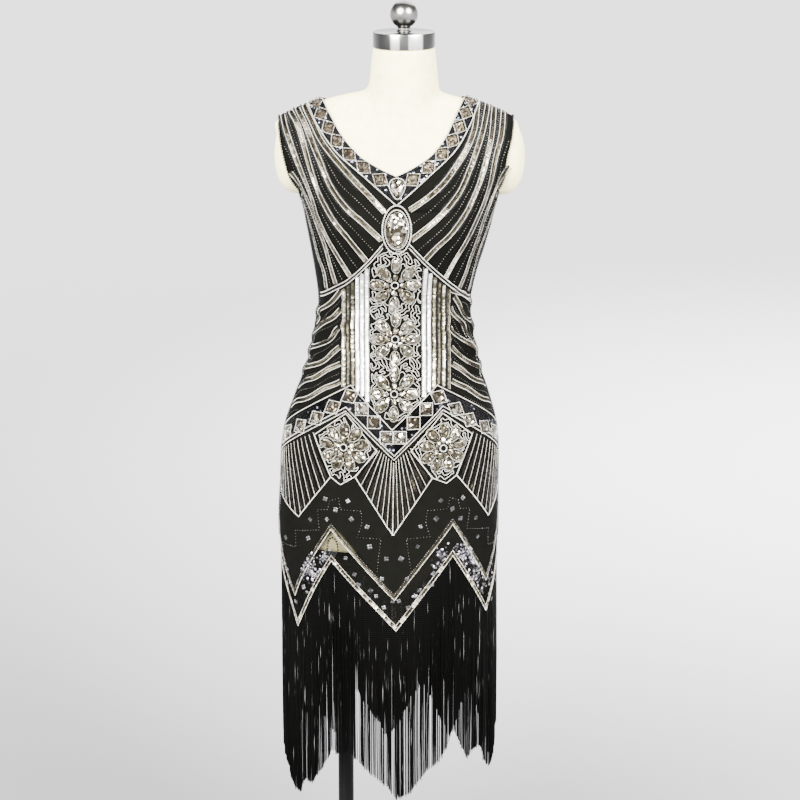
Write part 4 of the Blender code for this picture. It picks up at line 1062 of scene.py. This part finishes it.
def sewFlower(side, arc, height, petals):
    def around(turn, reach):  # spot, point and outward direction, so far from the centre
        at = fromGirth(side, arc + reach * math.sin(turn), height + reach * math.cos(turn))
        return at, *onCloth(side, at, flower["lift"])

    centre, point, _ = around(0, 0)
    bright = (0.5, 1.0) if petals == 8 else (0.0, 0.45)
    for k in range(petals):
        turn = 2 * math.pi * k / petals
        slim = petals == 8 and k % 4 == 0
        long, wide = flower["halfLong"], flower["halfWide"] * (0.85 if slim else 1.0)
        at, petal, out = around(turn, flower["reach"] * (1.17 if slim else 1.0))
        along = flattened(petal - point, out)
        sewOn("petals", petal, out, along, (long, wide, flower["rise"]), chance.uniform(*bright))
        ring = frameRound(side, at[0], along[0], long + 0.0009, wide + 0.0007, "oval")
        sewRope("ropesPanel", side, ring, 0.0006, 0.5, (0.3, 0.9))
        _, small, out = around(turn, flower["smallReach"])
        sewOn("petals", small, out, along, flower["small"], chance.uniform(0.3, 0.9))
    ring = frameRound(side, centre[0], np.array([1.0, 0, 0]), flower["button"], flower["button"], "oval")
    sewRope("ropesPanel", side, ring, 0.0016, 0.95, (0.7, 1.0))


for arc, height, petals in flowers.values():
    sewFlower(front, arc, height, petals)
flowerHoles = [(arc, height, flower["clear"]) for arc, height, _ in flowers.values()]
centreField = [(-0.0236, 1.1480), (-0.0405, 1.1260), (-0.0390, 1.0675), (-0.0365, 0.9887),
               (-0.0350, 0.9060), (0.0045, 0.8660), (0.0445, 0.9060), (0.0434, 0.9887), (0.0403, 1.0675),
               (0.0390, 1.1260), (0.0166, 1.1480)]
sewWorms("ropesPanel", front, centreField, flowerHoles)
sewWorms("ropesPanelBack", back, centreField, [])
print("waist laid")

# Hip band, fans and rosette fields

hip = {
    "gems": [(-0.1990, 0.8340), (-0.1814, 0.8425), (-0.1498, 0.8587), (-0.1194, 0.8759),
             (-0.0926, 0.8960), (-0.0654, 0.9154), (-0.0461, 0.8962), (-0.0268, 0.8763),
             (-0.0062, 0.8521), (0.0142, 0.8521), (0.0340, 0.8746), (0.0524, 0.8959), (0.0719, 0.9134),
             (0.1004, 0.8921), (0.1250, 0.8726), (0.1568, 0.8558), (0.1850, 0.8430), (0.2080, 0.8320)],
    "inner": (-0.0654, 0.0719), "square": 0.0097, "diamond": (0.0160, 0.0122),
    "rise": 0.0040, "lift": 0.0012,
}
for word, side in sides:

    def hipPlace(u, v, side=side):  # between the band's two edges
        edges = [dense(keys, 40) for keys in (hipLower, hipUpper)]
        lower, upper = (between(line, u, np.linspace(0, 1, len(line))) for line in edges)
        line = lower * (1 - v)[:, None] + upper * v[:, None]
        return onCloth(side, fromGirth(side, *line.T), 0.0006)[0]

    built = bmesh.new()
    layGrid(built, 160, 3, hipPlace)
    clothPiece("hipBand" + word, built, side, 0.0005, "lining", "stones", "hip_band_" + word.lower())
    ropes = "ropesHip" + word
    for share in np.arange(0.24, 0.97, 0.105):  # dark sequins fill the corners beside the stones
        row = dense(hipLower, 30) * (1 - share) + dense(hipUpper, 30) * share
        spots = fromGirth(side, *row.T)
        sewSequins("bandSequinsDark", side, spots, 0.0036, 0.0010, (0.0, 1.0), 0.9, 0.3, 3.0)
    for keys in (hipUpper, hipLower, shifted(hipLower, 0.0062)):
        sewRope(ropes, side, girthLine(side, keys), 0.0006, 0.82)
    for rise in (0.0020, 0.0042):  # a black cord between the two lower ropes
        sewJets(side, girthLine(side, shifted(hipLower, rise)), 0.0030, 0.0014, 0.0006)
    for arc, z in hip["gems"]:
        spot = fromGirth(side, arc, z)
        point, outward = onCloth(side, spot, hip["lift"])
        square = hip["inner"][0] < arc < hip["inner"][1]
        long, wide = (hip["square"],) * 2 if square else hip["diamond"]
        along = flattened(np.array([[1.0, 0.0, 0.0 if square else -0.55 * np.sign(arc)]]), outward)
        tone = chance.uniform(0.1, 0.95)
        if square:  # the stone's own corners lie along and across
            turned = turnRound(along, outward, np.array([math.pi / 4]))
            sewOn("stonesHip" + word, point, outward, turned, (long * 1.45, wide * 1.45, hip["rise"]), tone)
        else:
            sewOn("stonesHip" + word, point, outward, along, (long, wide, hip["rise"]), tone)
        ring = frameRound(side, spot[0], along[0], long, wide, "square" if square else "diamond")
        sewRope(ropes, side, ring, 0.0012, 0.75)


def sewFan(side, top, bottom, rays, word):
    ropes, lines = "ropesSkirt" + word, []
    for share in np.arange(2 * rays + 1) / (2 * rays):
        runs = [(keys, runLength(keys)) for keys in (top, bottom)]
        lines.append([between(keys, [share * run[-1]], run)[0] for keys, run in runs])
    for k, (start, end) in enumerate(lines):
        if k % 2 == 0:  # a rope between two bars; the middle one of the centre fan is thick
            size = 0.9 if k == rays == 14 else 0.52
            sewRope(ropes, side, girthLine(side, [start, end]), 0.0, size, (0.4, 0.95))
        else:
            line = girthLine(side, [start + (end - start) * 0.34, start + (end - start) * 0.94])
            sewSequins("smokeBars" + word, side, line, 0.0050, bright=(0.0, 0.7), pitch=0.4, curve=1.8)
    sewRope(ropes, side, girthLine(side, bottom), 0.0002, 0.95)


fans = [  # upper edge, lower edge, rays
    ([(-0.0200, 0.8345), (0.0063, 0.8120), (0.0310, 0.8345)],
     [(-0.0524, 0.7876), (0.0074, 0.6954), (0.0661, 0.7857)], 14),
    ([(-0.2240, 0.7980), (-0.1939, 0.8150), (-0.1240, 0.8530)],
     [(-0.2235, 0.7650), (-0.1945, 0.7393), (-0.1473, 0.7148), (-0.0917, 0.7864)], 13),
    ([(0.1330, 0.8530), (0.2035, 0.8120), (0.2290, 0.7980)],
     [(0.1060, 0.7876), (0.1701, 0.7123), (0.2261, 0.7650)], 12),
]
for word, side in sides:
    for top, bottom, rays in fans:
        sewFan(side, top, bottom, rays, word)
rosettes = [
    [(-0.0711, 0.8880), (-0.1215, 0.8500), (-0.0917, 0.7864), (-0.0761, 0.7749), (-0.0540, 0.7885),
     (-0.0200, 0.8300)],
    [(0.0788, 0.8880), (0.0320, 0.8300), (0.0680, 0.7857), (0.0892, 0.7765), (0.1050, 0.7876),
     (0.1310, 0.8500)],
]
for outline in rosettes:
    for panel, side, holes in (("ropesPanel", front, flowerHoles), ("ropesPanelBack", back, [])):
        sewWorms(panel, side, outline, holes)
        sewRope(panel, side, girthLine(side, outline + outline[:1]), 0.0, 0.85)

# The bust jewel and the stone at the point of the neckline

jewels = [  # piece, shape, height, halves along and across, rise, rings: growth, lift, size
    ("bustJewel", "oval", 1.1785, 0.0275, 0.0165, 0.0075, ((1.08, 0.0006, 1.0), (1.32, 0.0, 1.1))),
    ("neckJewel", "drop", 1.2385, 0.0138, 0.0098, 0.0050, ((1.15, 0.0018, 0.8),)),
]
for piece, shape, z, halfHigh, halfWide, jewelRise, rings in jewels:
    spot = fromFront(-0.0030, z)
    point, outward = onCloth(front, spot, 0.0020)
    up = flattened(np.array([[0.0, 0.0, 1.0]]), outward)
    sewOn(piece, point, outward, up, (halfHigh, halfWide, jewelRise), 0.75)
    for grow, lift, size in rings:
        ring = frameRound(front, spot[0], up[0], halfHigh * grow, halfWide * grow, shape)
        sewRope("ropesNeckFront", front, ring, lift, size, (0.6, 1.0))

# Skirt field, sheer band and hem band

skirt = {
    "mirror": 0.0085,
    "sequins": [(-0.1004, 0.7499), (-0.0638, 0.7494), (-0.0830, 0.7343), (-0.1252, 0.7142),
                (-0.0970, 0.7177), (-0.0574, 0.7206), (-0.0330, 0.7091), (-0.1295, 0.6831),
                (-0.0285, 0.6771), (-0.1796, 0.6733), (-0.0027, 0.6580)],
    "loose": [(-0.1210, 0.6520), (-0.1290, 0.6290), (-0.1010, 0.6546), (-0.0668, 0.6576),
              (-0.0108, 0.6252), (0.0036, 0.5890), (-0.0296, 0.6061), (-0.0212, 0.5968),
              (-0.0106, 0.5778), (-0.0485, 0.6149), (-0.0536, 0.6319), (-0.1360, 0.5922),
              (-0.1428, 0.6004), (-0.1640, 0.5700), (-0.1850, 0.5960)],
    "gathered": [(-0.138, 0.640, 0.010, 90), (-0.117, 0.618, 0.009, 60), (-0.100, 0.655, 0.006, 25),
                 (0.083, 0.652, 0.009, 45), (0.122, 0.655, 0.010, 70), (0.143, 0.620, 0.010, 60),
                 (0.180, 0.600, 0.010, 20), (-0.185, 0.620, 0.010, 30)],
    "maze": [(-0.195, 0.640), (-0.192, 0.662), (-0.1539, 0.664), (-0.1539, 0.6914), (-0.1090, 0.6995),
             (-0.1134, 0.7317), (-0.0960, 0.7337), (-0.0924, 0.7481), (-0.0783, 0.7531),
             (-0.0754, 0.7354), (-0.0427, 0.7345), (-0.0410, 0.7141), (-0.0483, 0.6920),
             (-0.0111, 0.6902), (-0.0151, 0.6593), (-0.0180, 0.6350)],
}


def mirrored(rows):
    return [(2 * skirt["mirror"] - arc, z) for arc, z in rows]


def sewSquares(piece, side, rows, half, bright, quarters=False):
    point, outward = onCloth(side, fromGirth(side, *np.transpose(rows)), 0.0008)
    outward = unit(outward + chance.normal(0, 0.10, outward.shape))
    along = np.cross(outward, np.array([0.0, 1.0, 0.0])) + chance.normal(0, 0.25, outward.shape)
    along = flattened(along, outward)
    size = np.stack([chance.uniform(0.85, 1.15, len(rows)) * half] * 3, 1)
    if not quarters:
        sewOn(piece, point, outward, along, size, chance.uniform(*bright, len(rows)))
        return
    over = np.cross(outward, along)  # four small ones make up a square
    for a, b in ((0.5, 0), (-0.5, 0), (0, 0.5), (0, -0.5)):
        spot = point + (along * a + over * b) * size
        sewOn(piece, spot, outward, along, size * 0.47, chance.uniform(*bright, len(rows)))


for word, side in sides:
    for rows in (skirt["sequins"], mirrored(skirt["sequins"])):
        sewSquares("fieldSequins", side, rows, 0.0048, (0.0, 0.6), True)
    for rows in (skirt["maze"], mirrored(skirt["maze"])):
        sewDots("dotsSkirt", side, girthLine(side, rows), 0.0050, 0.00075, 0.0, (0.25, 0.8))
    # Sheer zone: loose squares, and small shards gathered under the peaks
    for rows in (skirt["loose"], mirrored(skirt["loose"])):
        sewSquares("sheerSequins", side, rows, 0.0048, (0.0, 0.7), True)
    zigzag = hemShares(side, hemTurns[side])
    for arc, z, spread, count in skirt["gathered"]:
        shards = np.array([arc, z]) + chance.normal(0, spread, (count * 3 // 2, 2)) * np.array([1.0, 1.1])
        above = shards[:, 1] - readOff(zigzag, shards[:, 0] / halfGirth(side, shards[:, 1]))
        sewSquares("shards", side, shards[(above > 0.012) & (above < 0.066)], 0.0021, (0.0, 0.95))
    for rise, width, *rest in ((0.0049, 0.0066, 0.0, (0.0, 1.0), 0.95, 0.0),
                               (0.0560, 0.0050, 0.0, (0.0, 0.5), 0.6, 0.6)):
        sewSequins("bandSequins" + word, side, hemLine(side, rise), width, *rest)
    for rise, size in ((0.0006, 0.75), (0.0092, 0.62), (0.0515, 0.75)):
        sewRope("ropesSkirt" + word, side, hemLine(side, rise), 0.0002, size, (0.35, 1.0))
    sewDots("dotsSkirt", side, hemLine(side, 0.0602), 0.0034, 0.0009, 0.0, (0.4, 1.0))
print("skirt laid")

turn = np.linspace(0, math.pi, 25)
arch = fromGirth(front, -0.0870 + 0.0088 * np.cos(turn), 0.6640 + 0.0255 * np.sin(turn) ** 0.8)
sewDots("archBeads", front, arch, 0.0044, 0.0021, 0.0002)

# Edges: armholes, and the small black beads down the side seams

for (word, side), hand in itertools.product(sides, (-1, 1)):
    climb = np.linspace(0.0, 0.995, 80)
    x = armholeEdge(hand, climb)
    spots = fromFront(x * 0.998, figure["armpit"] + (ridge(x) - figure["armpit"]) * climb)
    sewJets(side, spots, 0.0040, 0.0021)
    z = np.linspace(0.665, 1.203, 200)
    sewJets(side, np.stack([np.full_like(z, hand * 88.5), z], 1), 0.0040, 0.0019)

# Templates, and sewing everything on


def template(name, build, flat=True):
    built = bmesh.new()
    build(built)
    bmesh.ops.recalc_face_normals(built, faces=built.faces)
    return addObject(name, finishMesh(name, built, flat=flat))


def buildBead(built):
    bmesh.ops.create_uvsphere(built, u_segments=4, v_segments=2, radius=1.0)


def buildDisc(segments, middleHeight):  # its middle pushed in or out
    def build(built):
        bmesh.ops.create_circle(built, cap_ends=True, cap_tris=True, segments=segments, radius=1.0)
        for corner in built.verts:
            if corner.co.length < 0.1:
                corner.co.z = middleHeight

    return build


def buildStone(built):  # a square stone: a girdle, a slope and a table with a low point
    bmesh.ops.create_cone(built, cap_ends=True, segments=4, radius1=1.0, radius2=0.70, depth=0.8)
    upright = [e for e in built.edges if abs(e.verts[0].co.z - e.verts[1].co.z) > 0.1]
    bmesh.ops.bevel(built, geom=upright, offset=0.12, offset_type="OFFSET", segments=1, profile=0.5,
                    affect="EDGES", material=-1)
    top = max(built.faces, key=lambda face: face.calc_center_median().z)
    bmesh.ops.poke(built, faces=[top])["verts"][0].co.z += 0.18


def buildDome(across, up, narrow, power, table):  # an oval or drop-shaped dome, which may be cut flat
    def build(built):
        bmesh.ops.create_uvsphere(built, u_segments=across, v_segments=up, radius=1.0)
        low = [corner for corner in built.verts if corner.co.z < -0.1]
        bmesh.ops.delete(built, geom=low, context="VERTS")
        for corner in built.verts:
            corner.co.y *= 1.0 + narrow * corner.co.x
            corner.co.z = min(table, max(0.0, corner.co.z) ** power)

    return build


templates = {
    "bead": template("beadShape", buildBead, False),
    "sequin": template("sequinShape", buildDisc(8, -0.22)),
    "square": template("squareShape", buildDisc(4, 0.25)),
    "stone": template("stoneShape", buildStone),
    "petal": template("petalShape", buildDome(8, 6, 0.22, 0.8, 0.74)),
    "oval": template("ovalShape", buildDome(18, 10, 0.0, 0.7, 1.0)),
    "drop": template("dropShape", buildDome(18, 10, narrowing, 0.7, 1.0)),
}


def makeSewTree(shape):  # each spot gets the shape, facing outward and lying along its line
    tree = bpy.data.node_groups.new("sew " + shape.name, "GeometryNodeTree")
    for way in ("INPUT", "OUTPUT"):
        tree.interface.new_socket("Geometry", in_out=way, socket_type="NodeSocketGeometry")
    source, sink = tree.nodes.new("NodeGroupInput"), tree.nodes.new("NodeGroupOutput")
    info = nodeIn(tree, "GeometryNodeObjectInfo", Object=shape)
    kind, sort = "GeometryNodeInputNamedAttribute", "FLOAT_VECTOR"
    outward, along, size = (
        nodeIn(tree, kind, data_type=sort, Name=name).outputs["Attribute"]
        for name in ("outward", "along", "size"))
    turned = nodeIn(
        tree, "FunctionNodeAxesToRotation", {0: outward, 1: along}, primary_axis="Z", secondary_axis="X")
    place = nodeIn(
        tree, "GeometryNodeInstanceOnPoints", Points=source.outputs[0], Instance=info.outputs["Geometry"],
        Rotation=turned.outputs[0], Scale=size)
    real = nodeIn(tree, "GeometryNodeRealizeInstances", Geometry=place.outputs["Instances"])
    setInputs(tree, sink, {0: real.outputs["Geometry"]})
    return tree


sewTrees = {name: makeSewTree(shape) for name, shape in templates.items()}


def sewPiece(name, shape, finish, slot, *nodes):
    rows = {key: np.concatenate(value).astype(np.float32) for key, value in sewing[name].items()}
    count = len(rows["point"])
    mesh = bpy.data.meshes.new(name + "Spots")
    mesh.vertices.add(count)
    mesh.vertices.foreach_set("co", rows["point"].ravel())
    for key in ("outward", "along", "size"):
        mesh.attributes.new(key, "FLOAT_VECTOR", "POINT").data.foreach_set("vector", rows[key].ravel())
    mesh.attributes.new("tone", "FLOAT", "POINT").data.foreach_set("value", rows["tone"])
    holder = addObject(name + "Holder", mesh)
    holder.modifiers.new("sew", "NODES").node_group = sewTrees[shape]
    piece = newPiece(name, takeMesh(holder), finish, slot, *nodes)
    print("sewn", name, count, "of", shape, len(piece.data.polygons), "faces")


sewKinds = {  # by the start of a piece's name: shape, finish, slot
    "ropes": ("bead", "silver", "stones"), "dots": ("bead", "dots", "stones"),
    "jet": ("bead", "jet", "stones"), "arch": ("bead", "black", "stones"),
    "gold": ("sequin", "gold", "sequins"),
    "white": ("sequin", "white", "sequins"), "smoke": ("sequin", "smoke", "sequins"),
    "stonesNeck": ("stone", "foil", "stones"), "stonesHip": ("stone", "stone", "stones"),
    "petals": ("petal", "petal", "stones"), "bust": ("oval", "stone", "stones"),
    "neck": ("drop", "stone", "stones"), "field": ("square", "glass", "sequins"),
    "sheer": ("square", "glass", "sequins"), "shards": ("square", "shard", "sequins"),
    "bandSequinsDark": ("sequin", "band", "sequins"), "bandSequinsFront": ("sequin", "gold", "sequins"),
    "bandSequinsBack": ("sequin", "gold", "sequins"),
}
sewnFor = {
    "petals": ["flower_" + place for place in flowers],
    "bustJewel": ["bust_jewel"], "neckJewel": ["neck_jewel"],
    "bandSequinsFront": ["sheer_band_front", "hem_band_front"],
    "bandSequinsBack": ["sheer_band_back", "hem_band_back"],
}
sewOrder = (
    "ropesNeckFront ropesNeckBack stonesNeckFront stonesNeckBack ropesBodice goldBodice dotsBodice "
    "ropesWaist goldWaist whiteBlocks ropesBack goldBack dotsBack ropesPanel ropesPanelBack petals "
    "bustJewel neckJewel ropesHipFront ropesHipBack stonesHipFront stonesHipBack ropesSkirtFront "
    "ropesSkirtBack smokeBarsFront smokeBarsBack fieldSequins sheerSequins shards dotsSkirt jetBeads "
    "archBeads bandSequinsDark bandSequinsFront bandSequinsBack"
)
for name in sewOrder.split():
    kind = next(kind for start, kind in sewKinds.items() if name.startswith(start))
    sewPiece(name, *kind, *sewnFor.get(name, ()))
for shape in templates.values():
    bpy.data.objects.remove(shape)

# Fringe: loose yarns, gathered a little where they hang from the hem

fringe = {
    "length": 0.274, "spacing": {front: 0.00080, back: 0.00092}, "radius": 0.00061, "steps": 9,
    "drop": 0.0006, "inward": 0.0012, "trim": [  # where, and how much longer
        (-0.180, 0.045), (-0.165, 0.040), (-0.155, 0.008), (-0.148, 0), (-0.136, 0.034), (-0.115, 0.045),
        (-0.095, 0.038), (-0.075, 0.012), (-0.050, 0.012), (-0.015, 0.004), (0.002, 0.010), (0.022, 0.030),
        (0.050, 0.027), (0.065, 0.038), (0.080, 0.036), (0.088, 0.012), (0.096, 0.014), (0.112, 0.026),
        (0.123, -0.008), (0.134, -0.034), (0.142, -0.016), (0.150, 0.026), (0.165, 0.045),
    ],
}
for word, side in sides:
    roots, _, _ = stations(side, hemLine(side, -fringe["drop"]), fringe["spacing"][side], -0.0006)
    curve = bpy.data.curves.new("fringe" + word, "CURVE")
    curve.dimensions, curve.bevel_depth, curve.bevel_resolution = "3D", fringe["radius"], 0
    curve.use_fill_caps = True
    clump = np.convolve(chance.normal(0, 1, len(roots) + 8), np.ones(9) / 9, "valid") * 3
    bundle = np.repeat(np.arange(len(roots)), chance.integers(2, 6, len(roots)))[: len(roots)]
    gather = np.array([roots[bundle == b, 0].mean() - x for b, x in zip(bundle, roots[:, 0])])
    for k, root in enumerate(roots):
        strand = curve.splines.new("POLY")
        strand.points.add(fringe["steps"] - 1)
        length = fringe["length"] + chance.normal(0, 0.0018)
        if side == front:  # trimmed flatter than the hem near the sides
            length += readOff(fringe["trim"], root[0])
        swayX = clump[k] * 0.0008 + chance.normal(0, 0.0003) + gather[k] * 0.6
        swayY = chance.normal(0, 0.0012) - side * fringe["inward"]
        wave = 0.0004 * math.sin(bundle[k])
        for t, point in zip(np.linspace(0, 1, fringe["steps"]), strand.points):
            x = root[0] + swayX * min(1, 1.6 * t) + wave * math.sin(5 * t + bundle[k]) * t
            point.co = (x, root[1] + swayY * t**1.3, root[2] - length * t, 1)
            point.radius = 1.0 - 0.25 * t
    mesh = takeMesh(addObject("fringeHolder" + word, curve))
    fringe[side] = newPiece("fringe" + word, mesh, "yarn", "fringe", "fringe_" + word.lower())
    print("fringe", word, len(roots), "yarns", len(mesh.polygons), "faces")

# Dress form: body, neck and arm stubs blended into one padded shape

form = {
    "bottom": 0.6605, "rim": 0.004, "neckX": 0.012, "neckY": 0.006, "blend": 0.022,
    "neckStart": 1.300, "top": 1.437, "stubInner": 0.05,
    "insets": [(0.60, 0.0085), (0.79, 0.0085), (0.86, 0.0060), (0.93, 0.0070), (1.05, 0.0070),
               (1.16, 0.0045), (1.24, 0.0036), (1.50, 0.0032)],
    "neck": [(1.300, 0.0560, 0.0600), (1.360, 0.0545, 0.0580), (1.385, 0.0525, 0.0555),
             (1.405, 0.0505, 0.0530), (1.440, 0.0470, 0.0480)],
    "stubInset": 0.0036, "stubs": ((-1, 0.0, -0.0010), (1, 0.0032, 0.0015)), "voxel": 0.0042,
}
formInset = through(form["insets"], 1)
neckWide, neckDeep = through(form["neck"], 1), through(form["neck"], 2)


def formPlace(u, v):
    z = form["bottom"] + (form["top"] - form["bottom"]) * v
    lean = np.clip((z - form["neckStart"]) / 0.08, 0, 1)
    centreX = middle(z) + (form["neckX"] - middle(z)) * lean
    centreY = form["neckY"] * lean
    angle = 2 * np.pi * u
    dx, dy = 1.7 * np.cos(angle), np.sin(angle)
    size = np.hypot(dx, dy)
    dx, dy = dx / size, dy / size
    low, high = np.zeros_like(z), np.full_like(z, 0.25)
    for _ in range(24):
        radius = (low + high) / 2
        x, y = abs(centreX + radius * dx - middle(z)), centreY + radius * dy
        depths = [bodyDepth(side, x, z, -formInset(z)) for side in (front, back)]
        within = abs(y) < np.where(y < 0, *depths) - 0.00001
        low, high = np.where(within, radius, low), np.where(within, high, radius)
    stalk = 1 / np.hypot(dx / neckWide(z), dy / neckDeep(z))
    overlap = np.maximum(0, form["blend"] - abs(low - stalk)) / form["blend"]
    joined = np.maximum(low, stalk) + overlap**2 * form["blend"] / 4
    radius = np.where(z < form["neckStart"], low, joined)
    radius = np.where(v < 0.001, radius - form["rim"], radius)
    return np.stack([centreX + radius * dx, centreY + radius * dy, z], 1)


def closeHoles(built, near):
    bmesh.ops.remove_doubles(built, verts=built.verts, dist=near)
    bmesh.ops.holes_fill(built, edges=[edge for edge in built.edges if edge.is_boundary], sides=0)


built = bmesh.new()
layGrid(built, 120, 130, formPlace)
closeHoles(built, 0.0001)
for hand, longer, lower in form["stubs"]:

    def stubPlace(u, v, hand=hand, longer=longer, lower=lower):
        start, end = form["stubInner"], figure["stubEnd"] - form["stubInset"]
        offset = start + (end - start) * v
        along = np.clip((offset - figure["stubRound"]) / (end - figure["stubRound"]), 0, 1)
        size = np.sqrt(np.maximum(0, 1 - along**2.4))
        angle = 2 * np.pi * u
        halves = [figure[half] - form["stubInset"] for half in ("stubHalfDepth", "stubHalfHeight")]
        x = middle(figure["stubHeight"]) + hand * (offset + longer * v)
        z = figure["stubHeight"] - lower + halves[1] * size * np.sin(angle)
        return np.stack([x, halves[0] * size * np.cos(angle), z], 1)

    layGrid(built, 64, 60, stubPlace)
closeHoles(built, 0.00005)
bmesh.ops.recalc_face_normals(built, faces=built.faces)
holder = addObject("formHolder", finishMesh("formShape", built))
remesh = holder.modifiers.new("one skin", "REMESH")
remesh.mode, remesh.voxel_size = "VOXEL", form["voxel"]
soften = holder.modifiers.new("soften", "SMOOTH")
soften.factor, soften.iterations = 0.5, 6
mesh = takeMesh(holder)
mesh.shade_smooth()
layUv(mesh)
newPiece("formBody", mesh, "ivory", "form_cover", "torso")
print("form made", len(mesh.polygons), "faces")

# Cap, ball and stand


def turnPiece(name, profile, centre, finish, slot, node, steps=48):
    built = bmesh.new()
    corners = [built.verts.new((radius + centre[0], centre[1], height)) for radius, height in profile]
    edges = [built.edges.new(pair) for pair in zip(corners, corners[1:])]
    bmesh.ops.spin(built, geom=corners + edges, cent=(*centre, 0), axis=(0, 0, 1), angle=2 * math.pi,
                   steps=steps, use_merge=True)
    bmesh.ops.remove_doubles(built, verts=built.verts, dist=0.00001)
    bmesh.ops.recalc_face_normals(built, faces=built.faces)
    mesh = finishMesh(name, built)
    mesh.set_sharp_from_angle(angle=math.radians(35))
    return newPiece(name, mesh, finish, slot, node)


capBottom, capTop = 1.4373, 1.4608
ballBottom, ballCentre, ballRadius = 1.4611, 1.4866, 0.0212
neckCentre, poleCentre = (0.012, 0.006), (-0.082, 0.0)
cap = [(0, capBottom), (0.0460, capBottom), (0.0469, capBottom + 0.0004), (0.0472, capBottom + 0.0012),
       (0.0472, capTop - 0.0012), (0.0469, capTop - 0.0004), (0.0460, capTop), (0, capTop)]
ball = [(0, ballBottom), (0.0118, ballBottom), (0.0112, ballBottom + 0.0010), (0.0096, ballBottom + 0.0026),
        (0.0094, ballBottom + 0.0052), (0.0110, ballBottom + 0.0078)]
for a in np.radians(np.arange(-52, 90, 6)):
    ball.append((ballRadius * math.cos(a), ballCentre + ballRadius * math.sin(a)))
ball.append((0, ballCentre + ballRadius))
pole = [(0, 0.0406), (0.0125, 0.0406), (0.0125, 0.6554), (0, 0.6554)]
collar = [(0, 0.6557), (0.0155, 0.6557), (0.0260, 0.6617), (0.0260, 0.6677), (0, 0.6677)]
hub = [(0, 0.0103), (0.0240, 0.0103), (0.0240, 0.0373), (0.0232, 0.0394), (0.0210, 0.0403), (0, 0.0403)]
plate = [(0, 0), (0.1790, 0), (0.1800, 0.0010), (0.1800, 0.0070), (0.1791, 0.0091), (0.1770, 0.0100),
         (0, 0.0100)]
turnPiece("neckCap", cap, neckCentre, "cap", "steel", "neck_cap", 128)
turnPiece("finialBall", ball, neckCentre, "polished", "steel", "finial", 64)
turnPiece("poleTube", pole, poleCentre, "black", "black_steel", "pole")
turnPiece("poleCollar", collar, poleCentre, "steel", "steel", "pole_collar")
turnPiece("baseHub", hub, poleCentre, "steel", "steel", "base_hub")
turnPiece("basePlate", plate, (0.0, 0.0), "black", "black_steel", "base_plate", 128)
print("stand made")

# Studio

studio = {
    "air": 0.25, "horizon": 2.5, "floor": (0.331, 0.328, 0.338),
    "paintedPools": [((-0.9, -0.6, 0.0), 6.0, 0.56),
              ((1.5, 2.6, 0.0), 3.0, 2.29)],  # centre, reach, share of the floor's colour: the first pool is painted shade, the second painted light
    "lights": [  # way to the light, strength, spread in degrees
        ((-0.50, -0.72, 0.50), 22.0, 45), ((0.62, -0.62, 0.50), 17.0, 35), ((0.10, 0.75, 0.65), 6.0, 60),
    ],
}


def stageFinish():  # pale paper, with a painted pool of light behind the form and painted shade before it
    made, tree, shader = newFinish("pale studio floor", studio["floor"], 0.95, Specular_IOR_Level=0.1)
    place, last = objectPlace(tree), (*studio["floor"], 1)
    for centre, reach, share in studio["paintedPools"]:
        away = nodeIn(tree, "VectorMath", {0: place, 1: centre}, operation="DISTANCE").outputs["Value"]
        pool = ranged(tree, away, interpolation_type="SMOOTHSTEP", From_Max=reach, To_Min=1.0, To_Max=0.0)
        lit = tuple(c * share for c in studio["floor"]) + (1,)
        last = nodeIn(tree, "Mix", {0: pool, 6: last, 7: lit}, data_type="RGBA").outputs[2]
    setInputs(tree, shader, {"Base_Color": last})
    return made


built = bmesh.new()
bmesh.ops.create_grid(built, x_segments=4, y_segments=4, size=150)
floor = addObject("studioFloor", finishMesh("studioFloor", built))
floor.data.materials.append(stageFinish())
floor.location.z = -0.0005

world = bpy.data.worlds.new("studio")
bpy.context.scene.world = world
world.use_nodes = True
sky, air = world.node_tree, world.node_tree.nodes["Background"]
height = nodeIn(sky, "SeparateXYZ", Vector=nodeIn(sky, "TexCoord").outputs["Generated"]).outputs["Z"]
glow = ranged(sky, height, interpolation_type="SMOOTHSTEP", From_Min=0.06, From_Max=0.40,
              To_Min=studio["horizon"], To_Max=studio["air"])
setInputs(sky, air, {"Color": (0.985, 0.98, 1.0, 1), "Strength": glow})

for way, strength, spread in studio["lights"]:
    lamp = bpy.data.lights.new("softLight", "SUN")
    lamp.energy, lamp.angle = strength, math.radians(spread)
    addObject("softLight", lamp).rotation_euler = Vector(way).to_track_quat("Z", "Y").to_euler()

camera = bpy.data.cameras.new("camera")
camera.lens, camera.sensor_width = 115.6, 36.0
seat = addObject("camera", camera)
seat.location = (0.006, -3.9, 1.915)
seat.rotation_euler = (math.radians(90 - 14.8), 0, 0)
bpy.context.scene.camera = seat
print("studio set")
